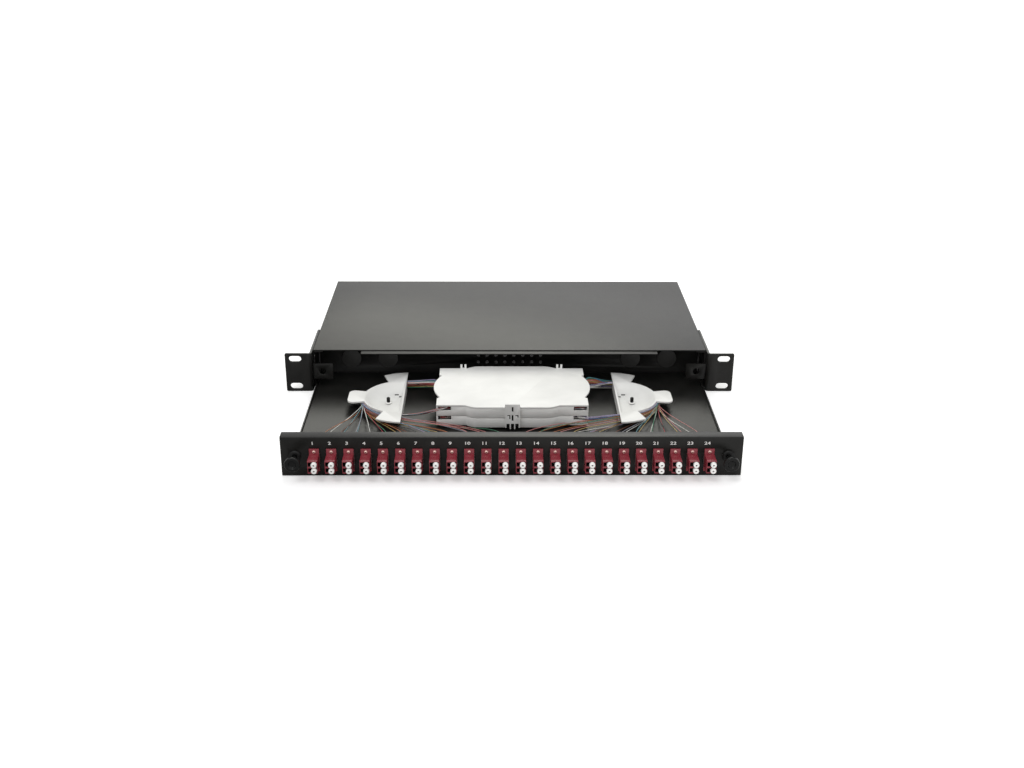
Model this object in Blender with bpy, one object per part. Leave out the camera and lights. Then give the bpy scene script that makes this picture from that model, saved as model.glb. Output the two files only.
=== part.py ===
"""Fibre splice patch panel, one rack unit high: a steel case with rack ears, a pull-out drawer with
24 duplex ports, two stacked splice trays on a hinge ladder, two fibre guides and two push-pull latches.

Sizes are in metres. Shapes are laid out in the rack frame: x to the right, y to the rear with the front
of the rack ears at 0, z up with the underside of the case at 0. One empty then moves the whole panel so
that the middle of its footprint is at the world origin. The drawer is modelled pulled out."""

import math

import bmesh
import bpy
from mathutils import Matrix, Vector

MM = 0.001

# Clearances
GAP = 0.3 * MM
RUN_GAP = 0.8 * MM

# Rack interface
RACK_WIDTH = 487.2 * MM
CASE_HEIGHT = 44.0 * MM
SLOT_INSET = 11.0 * MM
SLOT_SPACING_Z = 31.75 * MM
SLOT_LENGTH = 13.6 * MM
SLOT_HEIGHT = 6.8 * MM
EAR_THICK = 2.5 * MM
EAR_REACH = 29.2 * MM
EAR_FLANGE = 73.5 * MM
EAR_CORNER = 1.5 * MM
EAR_BEND = 0.8 * MM
EAR_SCREW_Y = (24.0 * MM, 58.0 * MM)
EAR_SCREW_HEAD = 7.0 * MM
EAR_SCREW_RISE = 2.2 * MM
EAR_SCREW_SHANK = 3.4 * MM

# Case
CASE_DEPTH = 229.5 * MM
CASE_SETBACK = 11.3 * MM
SHEET = 1.2 * MM
CASE_LEDGE = 10.0 * MM
LIP_X = -0.6 * MM
LIP_WIDTH = 322.4 * MM
LIP_REACH = 7.9 * MM
LIP_LAP = 14.0 * MM
LATCH_TAB_WIDTH = 20.2 * MM
LATCH_TAB_HEIGHT = 17.8 * MM
LATCH_TAB_FRONT = 5.0 * MM

# Drawer
TRAVEL = 185.0 * MM
DRAWER_DEPTH = 244.1 * MM
RAIL_HEIGHT = 3.2 * MM
REAR_WALL_TOP = 40.5 * MM
CABLE_HOLE = 20.0 * MM
CABLE_HOLE_INSETS = (78.4 * MM, 37.4 * MM)
CABLE_HOLE_Z = 20.0 * MM
CABLE_PLUG_RIM = 23.0 * MM
CABLE_PLUG_FACE = 21.6 * MM
CABLE_PLUG_FLANGE = 1.2 * MM
CABLE_PLUG_REACH = 4.5 * MM
TIE_HOLE = 3.8 * MM
TIE_PITCH_X = 10.0 * MM
TIE_PITCH_Z = 8.1 * MM
TIE_COLUMNS = 8
TIE_ROWS = 3
TIE_LOW_Z = 15.3 * MM

# Front panel
PANEL_OVERHANG = 2.95 * MM
PANEL_HEIGHT = 40.7 * MM
PANEL_THICK = 1.2 * MM
PANEL_FLANGE = 11.4 * MM
PANEL_BEND = 1.2 * MM

# Ports
PORTS = 24
PORT_MARGIN = 23.55 * MM
PORT_Z = 17.5 * MM
PORT_BODY_WIDTH = 9.3 * MM
PORT_BODY_HEIGHT = 12.9 * MM
PORT_BODY_REACH = 16.4 * MM
PORT_BACK_REACH = 13.0 * MM
PORT_FLANGE_WIDTH = 9.5 * MM
PORT_FLANGE_HEIGHT = 23.4 * MM
PORT_FLANGE_THICK = 1.6 * MM
PORT_SCREW_PITCH = 17.6 * MM
PORT_SCREW_HEAD = 4.0 * MM
PORT_SCREW_RISE = 1.1 * MM
BORE_PITCH = 6.1 * MM
CAP_WIDTH = 5.4 * MM
CAP_REACH = 3.2 * MM
CAP_OFFSET = 1.6 * MM
CAP_DIMPLE = 1.6 * MM
LATCH_SLOT_WIDTH = 2.6 * MM
LATCH_SLOT_HEIGHT = 3.4 * MM
LATCH_SLOT_DEPTH = 5.0 * MM

# Connectors and pigtails
PLUG_WIDTH = 5.0 * MM
PLUG_HEIGHT = 11.2 * MM
PLUG_LENGTH = 11.0 * MM
BOOT_LENGTH = 16.0 * MM
BOOT_WIDTH = 3.6 * MM
BOOT_TIP = 2.0 * MM
FIBRE_WIDTH = 1.2 * MM
BUNDLE_WIDTH = 4.0 * MM
LEAD_WIDTH = 3.0 * MM
WRAP_START = 95.0
WRAP_FIRST = -8.0
WRAP_LAST = -92.0

# Push-pull latches
KNOB_INSET = 13.35 * MM
KNOB_Z = 21.3 * MM
KNOB_WIDTH = 14.8 * MM
KNOB_REACH = 19.6 * MM
KNOB_RIM = 3.2 * MM
KNOB_DISH = 1.6 * MM
KNOB_NECK_FRONT = 9.6 * MM
KNOB_NECK_REAR = 6.4 * MM
KNOB_STROKE = 6.0 * MM
KNOB_PIN = 3.6 * MM
KNOB_PIN_REACH = 10.0 * MM
GROMMET_WIDTH = 6.8 * MM
GROMMET_COLLAR = 11.4 * MM
GROMMET_COLLAR_THICK = 1.6 * MM
GROMMET_REACH = 3.0 * MM

# Splice trays
STACK_X = 1.5 * MM
STACK_SETBACK = 96.1 * MM
STACK_TOP = 28.0 * MM
TRAY_HEIGHT = 10.1 * MM
LID_THICK = 1.6 * MM
TRAY_WALL = 1.6 * MM
TRAY_FLOOR = 1.4 * MM
TRAY_HALF_WIDTH = 77.3 * MM
TRAY_HALF_DEPTH = 47.7 * MM
TRAY_BULGE = 5.4 * MM
TRAY_SHOULDER = 48.0 * MM
TRAY_SHOULDER_RUN = 12.5 * MM
TRAY_WAIST = 70.0 * MM
LID_END = 81.8 * MM
LID_END_HALF = 28.0 * MM
LID_END_NOTCH = 3.0 * MM
LID_END_STEP = 2.4 * MM
ENTRY_WIDTH = 13.5 * MM
ENTRY_HEIGHT = 4.3 * MM
ENTRY_INSET = 1.4 * MM
SPLICE_BED_WIDTH = 46.0 * MM
SPLICE_BED_DEPTH = 42.0 * MM
SPLICE_BED_THICK = 1.2 * MM
SPLICE_PLACES = 6
SPLICE_PITCH = 7.0 * MM
SPLICE_RIB = 1.6 * MM
SPLICE_RIB_HEIGHT = 4.6 * MM
SPLICE_SLEEVE = 3.0 * MM
SPLICE_SLEEVE_LENGTH = 40.0 * MM
MOUNT_WIDTH = 96.0 * MM
MOUNT_DEPTH = 64.0 * MM
MOUNT_WEB = 1.6 * MM
MOUNT_RAIL = 10.0 * MM
CLIP_X = 52.0 * MM
CLIP_WIDTH = 6.6 * MM
CLIP_THICK = 1.8 * MM
CLIP_RISE = 4.0 * MM
CLIP_PRONG = 2.2 * MM

# Hinge ladder
LADDER_WIDTH = 15.2 * MM
LADDER_SKIN = 0.8 * MM
LADDER_RISE = 4.4 * MM
LADDER_UNDER = 6.0 * MM
LADDER_LEG_UNDER = 7.6 * MM
LADDER_LEG = 1.5 * MM
LADDER_FINGER = 1.2 * MM
LADDER_FINGER_X = 2.2 * MM
LADDER_CROTCH = 12.0 * MM
LADDER_SLOT = 1.7 * MM
LADDER_SLOTS = ((15.2 * MM, 21.7 * MM), (25.4 * MM, 30.5 * MM))
HOOK_SLOTS = ((-5.2 * MM, -2.2 * MM, 17.0 * MM), (2.8 * MM, 6.0 * MM, 18.8 * MM))
HOOK_SLOT_TOP = 21.6 * MM
HOOK_SLOT_BAR = 1.1 * MM
HINGE_SET = 1.3 * MM
HINGE_RISE = 1.0 * MM
HINGE_ROD = 1.0 * MM
HINGE_RING = 2.2 * MM
MERLON_RISE = 1.1 * MM
MERLON_HALF = 1.5 * MM
TRAY_EAR = 1.7 * MM
LID_EAR = 1.3 * MM
EAR_GAP = 0.4 * MM

# Fibre guides
GUIDE_INSET = 102.4 * MM
GUIDE_SETBACK = 90.7 * MM
GUIDE_TOP = 14.0 * MM
GUIDE_LIP = 1.7 * MM
GUIDE_WALL = 2.0 * MM
GUIDE_FLOOR = 2.4 * MM
GUIDE_HALF = 63.3 * MM
DRUM_OFFSET = 2.9 * MM
DRUM_RADIUS = 40.3 * MM
BOWL_LEVELS = ((0.0, -1.0 * MM), (0.17, 1.0 * MM), (0.5, 3.4 * MM), (0.82, 7.2 * MM), (1.0, 12.0 * MM))
HORN_REACH = 25.5 * MM
HORN_TIP_HALF = 55.2 * MM
HORN_BOW = 1.8 * MM
HORN_NOTCH_HALF = 36.9 * MM
ARM_REACH = 59.0 * MM
ARM_ROOT_HALF = 12.5 * MM
ARM_TIP_HALF = 14.8 * MM
ARM_CORNER = 6.0 * MM
STUD_OFFSET = 17.0 * MM
STUD_WIDTH = 3.6 * MM
STUD_TOP = 12.4 * MM
WASHER_WIDTH = 8.0 * MM
WASHER_THICK = 1.0 * MM
TIE_SLOT = 4.4 * MM
TIE_SLOT_WIDTH = 3.0 * MM
TIE_SLOT_PLACES = ((10.0 * MM, 22.6 * MM), (4.9 * MM, 17.4 * MM))

# Places that follow from the sizes
SLOT_SPACING_X = RACK_WIDTH - 2 * SLOT_INSET
CASE_WIDTH = RACK_WIDTH - 2 * EAR_REACH
PANEL_WIDTH = CASE_WIDTH + 2 * PANEL_OVERHANG
PORT_PITCH = (PANEL_WIDTH - 2 * PORT_MARGIN) / PORTS
KNOB_X = PANEL_WIDTH / 2 - KNOB_INSET
GUIDE_X = CASE_WIDTH / 2 - GUIDE_INSET
CABLE_HOLE_X = [CASE_WIDTH / 2 - inset for inset in CABLE_HOLE_INSETS]
CASE_INNER = CASE_WIDTH / 2 - SHEET
CASE_REAR = CASE_SETBACK + CASE_DEPTH
COVER_UNDER = CASE_HEIGHT - SHEET
LEDGE_TOP = COVER_UNDER - GAP
EAR_INNER = CASE_WIDTH / 2 + GAP
CLOSED_FACE = -PANEL_FLANGE - GAP
FACE = CLOSED_FACE - TRAVEL
PANEL_BACK = FACE + PANEL_THICK
REAR_WALL_BACK = FACE + DRAWER_DEPTH
REAR_WALL_FRONT = REAR_WALL_BACK - SHEET
STACK_Y = REAR_WALL_FRONT - STACK_SETBACK
GUIDE_Y = REAR_WALL_FRONT - GUIDE_SETBACK
FLOOR_UNDER = max(SHEET, PANEL_THICK) + GAP
FLOOR_TOP = FLOOR_UNDER + SHEET
SEAT = FLOOR_TOP + GAP
DRAWER_HALF = CASE_INNER - RUN_GAP
LIP_FRONT = CASE_SETBACK - LIP_REACH
FRONT_REACH = max(KNOB_REACH, PORT_BODY_REACH + CAP_REACH)
FOOTPRINT_MIDDLE = (FACE - FRONT_REACH + CASE_REAR) / 2
GROMMET_HOLE = GROMMET_WIDTH + 2 * GAP
GROMMET_BORE = KNOB_PIN + 2 * GAP
GROMMET_END = LATCH_TAB_FRONT + SHEET + GROMMET_REACH - TRAVEL
TRAY_FRONT = STACK_Y - TRAY_HALF_DEPTH - TRAY_BULGE
LADDER_BACK = TRAY_FRONT - GAP
HINGE_Y = LADDER_BACK - HINGE_SET
SKIN_BACK = HINGE_Y - HINGE_RING - GAP
LADDER_FRONT = SKIN_BACK - LADDER_SKIN
HINGE_Z = STACK_TOP + HINGE_RISE
LADDER_SADDLE = HINGE_Z - HINGE_RING - GAP
LID_UNDER = STACK_TOP - LID_THICK
UPPER_TOP = LID_UNDER - GAP
UPPER_UNDER = UPPER_TOP - TRAY_HEIGHT
LOWER_TOP = UPPER_UNDER - GAP
LOWER_UNDER = LOWER_TOP - TRAY_HEIGHT
MOUNT_TOP = LOWER_UNDER - GAP
TRAY_EAR_X = MERLON_HALF + EAR_GAP + LID_EAR + EAR_GAP + TRAY_EAR / 2
LID_EAR_X = MERLON_HALF + EAR_GAP + LID_EAR / 2
DRUM_X = GUIDE_X + DRUM_OFFSET
GUIDE_LIP_UNDER = GUIDE_TOP - GUIDE_LIP
BOWL_FLOOR = SEAT + GUIDE_FLOOR
STUD_X = GUIDE_X + STUD_OFFSET

ALONG_X = Matrix.Rotation(math.pi / 2, 4, "Y")
ALONG_Y = Matrix.Rotation(-math.pi / 2, 4, "X")
ALONG_Z = Matrix.Identity(4)


class Carrier:
    """An empty that carries pieces, with its place in the rack frame."""

    def __init__(self, name, place, under=None):
        self.place = Vector(place)
        self.empty = bpy.data.objects.new(name, None)
        self.empty.empty_display_size = 0.02
        bpy.context.scene.collection.objects.link(self.empty)
        if under is None:
            self.empty.location = self.place - Vector((0.0, FOOTPRINT_MIDDLE, 0.0))
        else:
            self.empty.parent = under.empty
            self.empty.location = self.place - under.place


def make_material(name, colour, roughness, metallic=0.0):
    made = bpy.data.materials.new(name)
    made.use_nodes = True
    shader = made.node_tree.nodes["Principled BSDF"]
    shader.inputs["Base Color"].default_value = (*colour, 1.0)
    shader.inputs["Roughness"].default_value = roughness
    shader.inputs["Metallic"].default_value = metallic
    made.diffuse_color = (*colour, 1.0)
    return made


def add(name, bm, carrier, finish=None, smooth=False):
    """Makes an object of a mesh laid out in the rack frame. One with no finish is a hidden helper."""
    bmesh.ops.remove_doubles(bm, verts=bm.verts, dist=1e-6)
    bmesh.ops.recalc_face_normals(bm, faces=bm.faces)
    mesh = bpy.data.meshes.new(name)
    bm.to_mesh(mesh)
    bm.free()
    mesh.transform(Matrix.Translation(-carrier.place))
    if smooth:
        mesh.shade_smooth()
        mesh.set_sharp_from_angle(angle=math.radians(35))
    obj = bpy.data.objects.new(name, mesh)
    obj.parent = carrier.empty
    bpy.context.scene.collection.objects.link(obj)
    if finish is None:
        obj.hide_render = True
        obj.display_type = "WIRE"
    else:
        mesh.materials.append(finish)
    return obj


def combine(obj, helper, operation, whole=False):
    modifier = obj.modifiers.new(helper.name, "BOOLEAN")
    modifier.operation = operation
    modifier.solver = "EXACT"
    modifier.use_self = whole
    modifier.object = helper


def add_box(bm, low, high):
    low, high = Vector(low), Vector(high)
    place = Matrix.Translation((low + high) / 2)
    size = Matrix.Diagonal((*(high - low), 1.0))
    bmesh.ops.create_cube(bm, size=1.0, matrix=place @ size)


def boxes(*spans):
    """A mesh of boxes, each given by its low and high corner."""
    bm = bmesh.new()
    for low, high in spans:
        add_box(bm, low, high)
    return bm


def add_prism(bm, outline, low, high, along="z"):
    """A straight solid of an outline: (x, y) along z, (x, z) along y, or (y, z) along x."""
    spot = {
        "z": lambda a, b: (a, b, low),
        "y": lambda a, b: (a, low, b),
        "x": lambda a, b: (low, a, b),
    }[along]
    run = {"z": (0, 0, high - low), "y": (0, high - low, 0), "x": (high - low, 0, 0)}[along]
    base = bm.faces.new([bm.verts.new(spot(a, b)) for a, b in outline])
    pushed = bmesh.ops.extrude_face_region(bm, geom=[base])["geom"]
    moved = [item for item in pushed if isinstance(item, bmesh.types.BMVert)]
    bmesh.ops.translate(bm, verts=moved, vec=run)


def prism(outline, low, high, along="z"):
    bm = bmesh.new()
    add_prism(bm, outline, low, high, along)
    return bm


def add_turned(bm, profile, place, steps, ring=False):
    """A solid turned about local z and then placed. The profile is (radius, height) from axis to axis,
    or all round a ring."""
    made = bmesh.new()
    verts = [made.verts.new((r, 0.0, h)) for r, h in profile]
    pairs = list(zip(verts, verts[1:])) + ([(verts[-1], verts[0])] if ring else [])
    edges = [made.edges.new(pair) for pair in pairs]
    bmesh.ops.spin(
        made,
        geom=verts + edges,
        cent=(0.0, 0.0, 0.0),
        axis=(0.0, 0.0, 1.0),
        angle=2 * math.pi,
        steps=steps,
        use_merge=True,
    )
    bmesh.ops.remove_doubles(made, verts=made.verts, dist=1e-6)
    made.transform(place)
    passed = bpy.data.meshes.new("turned")
    made.to_mesh(passed)
    made.free()
    bm.from_mesh(passed)
    bpy.data.meshes.remove(passed)


def turned(profile, place, steps, ring=False):
    bm = bmesh.new()
    add_turned(bm, profile, place, steps, ring)
    return bm


def rod_profile(radius, low, high):
    return [(0.0, low), (radius, low), (radius, high), (0.0, high)]


def add_tube(bm, points, width, sides=4):
    """A tube with flat ends along a line of points."""
    rings = []
    for index, point in enumerate(points):
        before = points[max(index - 1, 0)]
        after = points[min(index + 1, len(points) - 1)]
        ahead = (after - before).normalized()
        across = ahead.cross(Vector((0, 0, 1))).normalized()
        rise = across.cross(ahead)
        ring = []
        for step in range(sides):
            angle = 2 * math.pi * (step + 0.5) / sides
            ring.append(bm.verts.new(point + width / 2 * (math.cos(angle) * across + math.sin(angle) * rise)))
        rings.append(ring)
    for ring, following in zip(rings, rings[1:]):
        for step in range(sides):
            nearby = (step + 1) % sides
            bm.faces.new((ring[step], ring[nearby], following[nearby], following[step]))
    bm.faces.new(rings[0][::-1])
    bm.faces.new(rings[-1])


def arc(centre, radius, start, end, steps):
    """Points of an arc, from one angle in degrees to another, both ends included."""
    angles = [math.radians(start + (end - start) * step / steps) for step in range(steps + 1)]
    return [(centre[0] + radius * math.cos(a), centre[1] + radius * math.sin(a)) for a in angles]


def stadium(centre, length, height, steps=6):
    """An oblong with round ends, lying along the first axis."""
    radius = height / 2
    reach = length / 2 - radius
    right = arc((centre[0] + reach, centre[1]), radius, -90, 90, steps)
    left = arc((centre[0] - reach, centre[1]), radius, 90, 270, steps)
    return right + left


def on_side(side, outline):
    return [(side * a, b) for a, b in outline]


def bezier(start, leave, arrive, end, steps):
    points = []
    for step in range(steps + 1):
        t = step / steps
        points.append(
            (1 - t) ** 3 * start + 3 * (1 - t) ** 2 * t * leave + 3 * (1 - t) * t**2 * arrive + t**3 * end
        )
    return points


def port_x(index):
    return (index - (PORTS - 1) / 2) * PORT_PITCH


def make_case(case, finishes):
    """The case body with its latch tabs, and the flat cover with its stepped front lip."""
    half = CASE_WIDTH / 2
    right = [
        (half, 0.0),
        (half, LEDGE_TOP),
        (half - CASE_LEDGE, LEDGE_TOP),
        (half - CASE_LEDGE, LEDGE_TOP - SHEET),
        (CASE_INNER, LEDGE_TOP - SHEET),
        (CASE_INNER, SHEET),
    ]
    section = right + [(-x, z) for x, z in reversed(right)]
    body = add("chassis_base", prism(section, CASE_SETBACK, CASE_REAR, "y"), case, finishes["steel"])
    tabs = bmesh.new()
    holes = bmesh.new()
    tab_low, tab_high = KNOB_Z - LATCH_TAB_HEIGHT / 2, KNOB_Z + LATCH_TAB_HEIGHT / 2
    tab_end = CASE_INNER - LATCH_TAB_WIDTH
    for side in (-1, 1):
        bracket = [
            (half, CASE_SETBACK + SHEET),
            (half, LATCH_TAB_FRONT),
            (tab_end, LATCH_TAB_FRONT),
            (tab_end, LATCH_TAB_FRONT + SHEET),
            (CASE_INNER, LATCH_TAB_FRONT + SHEET),
            (CASE_INNER, CASE_SETBACK + SHEET),
        ]
        add_prism(tabs, on_side(side, bracket), tab_low, tab_high)
        hole = rod_profile(GROMMET_HOLE / 2, -SHEET, 2 * SHEET)
        add_turned(holes, hole, Matrix.Translation((side * KNOB_X, LATCH_TAB_FRONT, KNOB_Z)) @ ALONG_Y, 16)
        for y in EAR_SCREW_Y:
            place = Matrix.Translation((side * CASE_INNER, y, CASE_HEIGHT / 2)) @ ALONG_X
            add_turned(holes, rod_profile(EAR_SCREW_SHANK / 2 + GAP, -2 * SHEET, 2 * SHEET), place, 10)
    combine(body, add("add_latch_tabs", tabs, case), "UNION")
    combine(body, add("cut_case_holes", holes, case), "DIFFERENCE")

    cover = boxes(((-half, CASE_SETBACK, COVER_UNDER), (half, CASE_REAR, CASE_HEIGHT)))
    cover = add("top_cover", cover, case, finishes["steel"])
    step = COVER_UNDER + SHEET / 2
    lip = [
        (LIP_FRONT, COVER_UNDER - SHEET),
        (LIP_FRONT, COVER_UNDER),
        (CASE_SETBACK, COVER_UNDER),
        (CASE_SETBACK + SHEET, step),
        (CASE_SETBACK + LIP_LAP, step),
        (CASE_SETBACK + LIP_LAP, COVER_UNDER - SHEET),
    ]
    lip = add("add_cover_lip", prism(lip, LIP_X - LIP_WIDTH / 2, LIP_X + LIP_WIDTH / 2, "x"), case)
    combine(cover, lip, "UNION")


def make_ear(side, name, case, finishes):
    """A rack ear bent from plate, with two oblong slots, screwed to the side of the case."""
    outer_bend = EAR_BEND + EAR_THICK
    plan = [(RACK_WIDTH / 2, 0.0), (RACK_WIDTH / 2, EAR_THICK)]
    inner = EAR_INNER + EAR_THICK
    plan += arc((inner + EAR_BEND, EAR_THICK + EAR_BEND), EAR_BEND, 270, 180, 3)
    plan += [(inner, EAR_FLANGE), (EAR_INNER, EAR_FLANGE)]
    plan += arc((EAR_INNER + outer_bend, outer_bend), outer_bend, 180, 270, 5)
    bm = prism(on_side(side, plan), 0.0, CASE_HEIGHT)
    bm.verts.ensure_lookup_table()
    corners = []
    for edge in bm.edges:
        one, other = (vert.co for vert in edge.verts)
        at_end = all(abs(abs(co.x) - RACK_WIDTH / 2) < 1e-6 for co in (one, other))
        at_rear = all(abs(co.y - EAR_FLANGE) < 1e-6 for co in (one, other))
        if (at_end or at_rear) and abs(one.z - other.z) < 1e-6:
            corners.append(edge)
    bmesh.ops.bevel(bm, geom=corners, offset=EAR_CORNER, segments=3, profile=0.5, affect="EDGES", material=-1)
    ear = add(f"ear_{name}", bm, case, finishes["steel"])
    holes = bmesh.new()
    for rise in (-1, 1):
        centre = (side * SLOT_SPACING_X / 2, CASE_HEIGHT / 2 + rise * SLOT_SPACING_Z / 2)
        add_prism(holes, stadium(centre, SLOT_LENGTH, SLOT_HEIGHT), -EAR_THICK, 2 * EAR_THICK, "y")
    for y in EAR_SCREW_Y:
        place = Matrix.Translation((side * EAR_INNER, y, CASE_HEIGHT / 2)) @ ALONG_X
        reach = 2 * EAR_THICK
        add_turned(holes, rod_profile(EAR_SCREW_SHANK / 2 + GAP, -reach, reach), place, 10)
    combine(ear, add(f"cut_ear_{name}", holes, case), "DIFFERENCE")
    for number, y in enumerate(EAR_SCREW_Y, 1):
        head = EAR_INNER + EAR_THICK + GAP
        profile = [
            (0.0, CASE_INNER + GAP),
            (EAR_SCREW_SHANK / 2, CASE_INNER + GAP),
            (EAR_SCREW_SHANK / 2, head),
            (EAR_SCREW_HEAD / 2, head),
            (EAR_SCREW_HEAD / 2, head + EAR_SCREW_RISE * 0.4),
            (EAR_SCREW_HEAD * 0.33, head + EAR_SCREW_RISE),
            (0.0, head + EAR_SCREW_RISE),
        ]
        turn = ALONG_X if side > 0 else Matrix.Rotation(-math.pi / 2, 4, "Y")
        place = Matrix.Translation((0.0, y, CASE_HEIGHT / 2)) @ turn
        screw = turned(profile, place, 10)
        add(f"ear_screw_{name}_{number}", screw, case, finishes["zinc"], smooth=True)


def make_drawer(drawer, finishes):
    """The drawer pan with its rear wall, the front panel, and the blanking plugs of the cable holes."""
    section = [
        (DRAWER_HALF, FLOOR_UNDER),
        (DRAWER_HALF, FLOOR_TOP + RAIL_HEIGHT),
        (DRAWER_HALF - SHEET, FLOOR_TOP + RAIL_HEIGHT),
        (DRAWER_HALF - SHEET, FLOOR_TOP),
    ]
    section += [(-x, z) for x, z in reversed(section)]
    pan = prism(section, PANEL_BACK + GAP, REAR_WALL_BACK, "y")
    pan = add("drawer_tray", pan, drawer, finishes["steel"])
    wall = boxes(((-DRAWER_HALF, REAR_WALL_FRONT, FLOOR_UNDER), (DRAWER_HALF, REAR_WALL_BACK, REAR_WALL_TOP)))
    combine(pan, add("add_rear_wall", wall, drawer), "UNION")
    holes = bmesh.new()
    for row in range(TIE_ROWS):
        for column in range(TIE_COLUMNS):
            x = (column - (TIE_COLUMNS - 1) / 2) * TIE_PITCH_X
            place = Matrix.Translation((x, REAR_WALL_FRONT, TIE_LOW_Z + row * TIE_PITCH_Z)) @ ALONG_Y
            add_turned(holes, rod_profile(TIE_HOLE / 2, -SHEET, 2 * SHEET), place, 8)
    cable_places = [side * x for side in (-1, 1) for x in CABLE_HOLE_X]
    for x in cable_places:
        place = Matrix.Translation((x, REAR_WALL_FRONT, CABLE_HOLE_Z)) @ ALONG_Y
        add_turned(holes, rod_profile(CABLE_HOLE / 2, -SHEET, 2 * SHEET), place, 24)
    combine(pan, add("cut_rear_wall", holes, drawer), "DIFFERENCE")

    inner_face = REAR_WALL_FRONT - GAP
    outer_face = REAR_WALL_BACK + GAP
    plug = [
        (0.0, inner_face - CABLE_PLUG_FLANGE),
        (CABLE_PLUG_FACE / 2, inner_face - CABLE_PLUG_FLANGE),
        (CABLE_PLUG_FACE / 2, inner_face),
        (CABLE_HOLE / 2 - GAP, inner_face),
        (CABLE_HOLE / 2 - GAP, outer_face),
        (CABLE_PLUG_RIM / 2, outer_face),
        (CABLE_PLUG_RIM / 2, outer_face + CABLE_PLUG_FLANGE),
        (CABLE_HOLE / 2 - GAP, outer_face + CABLE_PLUG_REACH),
        (CABLE_HOLE / 2 - 2 * CABLE_PLUG_FLANGE, outer_face + CABLE_PLUG_REACH),
        (CABLE_HOLE / 2 - 2 * CABLE_PLUG_FLANGE, inner_face),
        (0.0, inner_face),
    ]
    for number, x in enumerate(sorted(cable_places), 1):
        place = Matrix.Translation((x, 0.0, CABLE_HOLE_Z)) @ ALONG_Y
        add(f"cable_plug_{number}", turned(plug, place, 24), drawer, finishes["rubber"], smooth=True)

    rear = FACE + PANEL_FLANGE
    outline = [(rear, PANEL_HEIGHT)]
    outline += arc((FACE + PANEL_BEND, PANEL_HEIGHT - PANEL_BEND), PANEL_BEND, 90, 180, 3)
    outline += arc((FACE + PANEL_BEND, PANEL_BEND), PANEL_BEND, 180, 270, 3)
    outline += [(rear, 0.0), (rear, PANEL_THICK), (PANEL_BACK, PANEL_THICK)]
    outline += [(PANEL_BACK, PANEL_HEIGHT - PANEL_THICK), (rear, PANEL_HEIGHT - PANEL_THICK)]
    panel = prism(outline, -PANEL_WIDTH / 2, PANEL_WIDTH / 2, "x")
    panel = add("front_panel", panel, drawer, finishes["steel"])
    holes = bmesh.new()
    for index in range(PORTS):
        x = port_x(index)
        half_width = PORT_BODY_WIDTH / 2 + GAP
        half_height = PORT_BODY_HEIGHT / 2 + GAP
        low = (x - half_width, FACE - PANEL_THICK, PORT_Z - half_height)
        add_box(holes, low, (x + half_width, PANEL_BACK + PANEL_THICK, PORT_Z + half_height))
    for side in (-1, 1):
        place = Matrix.Translation((side * KNOB_X, FACE, KNOB_Z)) @ ALONG_Y
        add_turned(holes, rod_profile(GROMMET_HOLE / 2, -PANEL_THICK, 2 * PANEL_THICK), place, 16)
    combine(panel, add("cut_front_panel", holes, drawer), "DIFFERENCE")


def make_adapters(drawer, finishes):
    """Duplex adapters: flange, body, two screws, and a dust cap in each bore."""
    seat = FACE - GAP
    front = FACE - PORT_BODY_REACH
    half_flange = PORT_FLANGE_HEIGHT / 2
    flange = boxes(
        (
            (-PORT_FLANGE_WIDTH / 2, seat - PORT_FLANGE_THICK, PORT_Z - half_flange),
            (PORT_FLANGE_WIDTH / 2, seat, PORT_Z + half_flange),
        )
    )
    pattern = add("port_pattern", flange, drawer, finishes["crimson"])
    body = boxes(
        (
            (-PORT_BODY_WIDTH / 2, front, PORT_Z - PORT_BODY_HEIGHT / 2),
            (PORT_BODY_WIDTH / 2, FACE + PORT_BACK_REACH, PORT_Z + PORT_BODY_HEIGHT / 2),
        )
    )
    slots = bmesh.new()
    extras = bmesh.new()
    slot_left = CAP_OFFSET - CAP_WIDTH / 2 - LATCH_SLOT_WIDTH
    for rise in (-1, 1):
        z = PORT_Z + rise * BORE_PITCH / 2
        low = (slot_left, front - SHEET, z - LATCH_SLOT_HEIGHT / 2)
        add_box(slots, low, (slot_left + LATCH_SLOT_WIDTH, front + LATCH_SLOT_DEPTH, z + LATCH_SLOT_HEIGHT / 2))
        tip = front - CAP_REACH
        cap = [
            (0.0, tip + CAP_DIMPLE),
            (CAP_DIMPLE / 2, tip),
            (CAP_WIDTH / 2, tip),
            (CAP_WIDTH / 2, front + SHEET),
            (0.0, front + SHEET),
        ]
        add_turned(extras, cap, Matrix.Translation((CAP_OFFSET, 0.0, z)) @ ALONG_Y, 10)
        head = seat - PORT_FLANGE_THICK
        screw = rod_profile(PORT_SCREW_HEAD / 2, head - PORT_SCREW_RISE, head + PORT_FLANGE_THICK / 2)
        place = Matrix.Translation((0.0, 0.0, PORT_Z + rise * PORT_SCREW_PITCH / 2)) @ ALONG_Y
        add_turned(extras, screw, place, 8)
    helpers = [add("add_port_body", body, drawer), add("cut_port_slots", slots, drawer)]
    helpers.append(add("add_caps_and_screws", extras, drawer))
    combine(pattern, helpers[0], "UNION")
    combine(pattern, helpers[1], "DIFFERENCE")
    combine(pattern, helpers[2], "UNION")
    graph = bpy.context.evaluated_depsgraph_get()
    shape = bpy.data.meshes.new_from_object(pattern.evaluated_get(graph))
    shape.name = "port_adapter"
    for helper in helpers + [pattern]:
        bpy.data.objects.remove(helper)
    for index in range(PORTS):
        adapter = bpy.data.objects.new(f"adapter_{index + 1:02d}", shape)
        adapter.parent = drawer.empty
        adapter.location = (port_x(index), 0.0, 0.0)
        bpy.context.scene.collection.objects.link(adapter)


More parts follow.
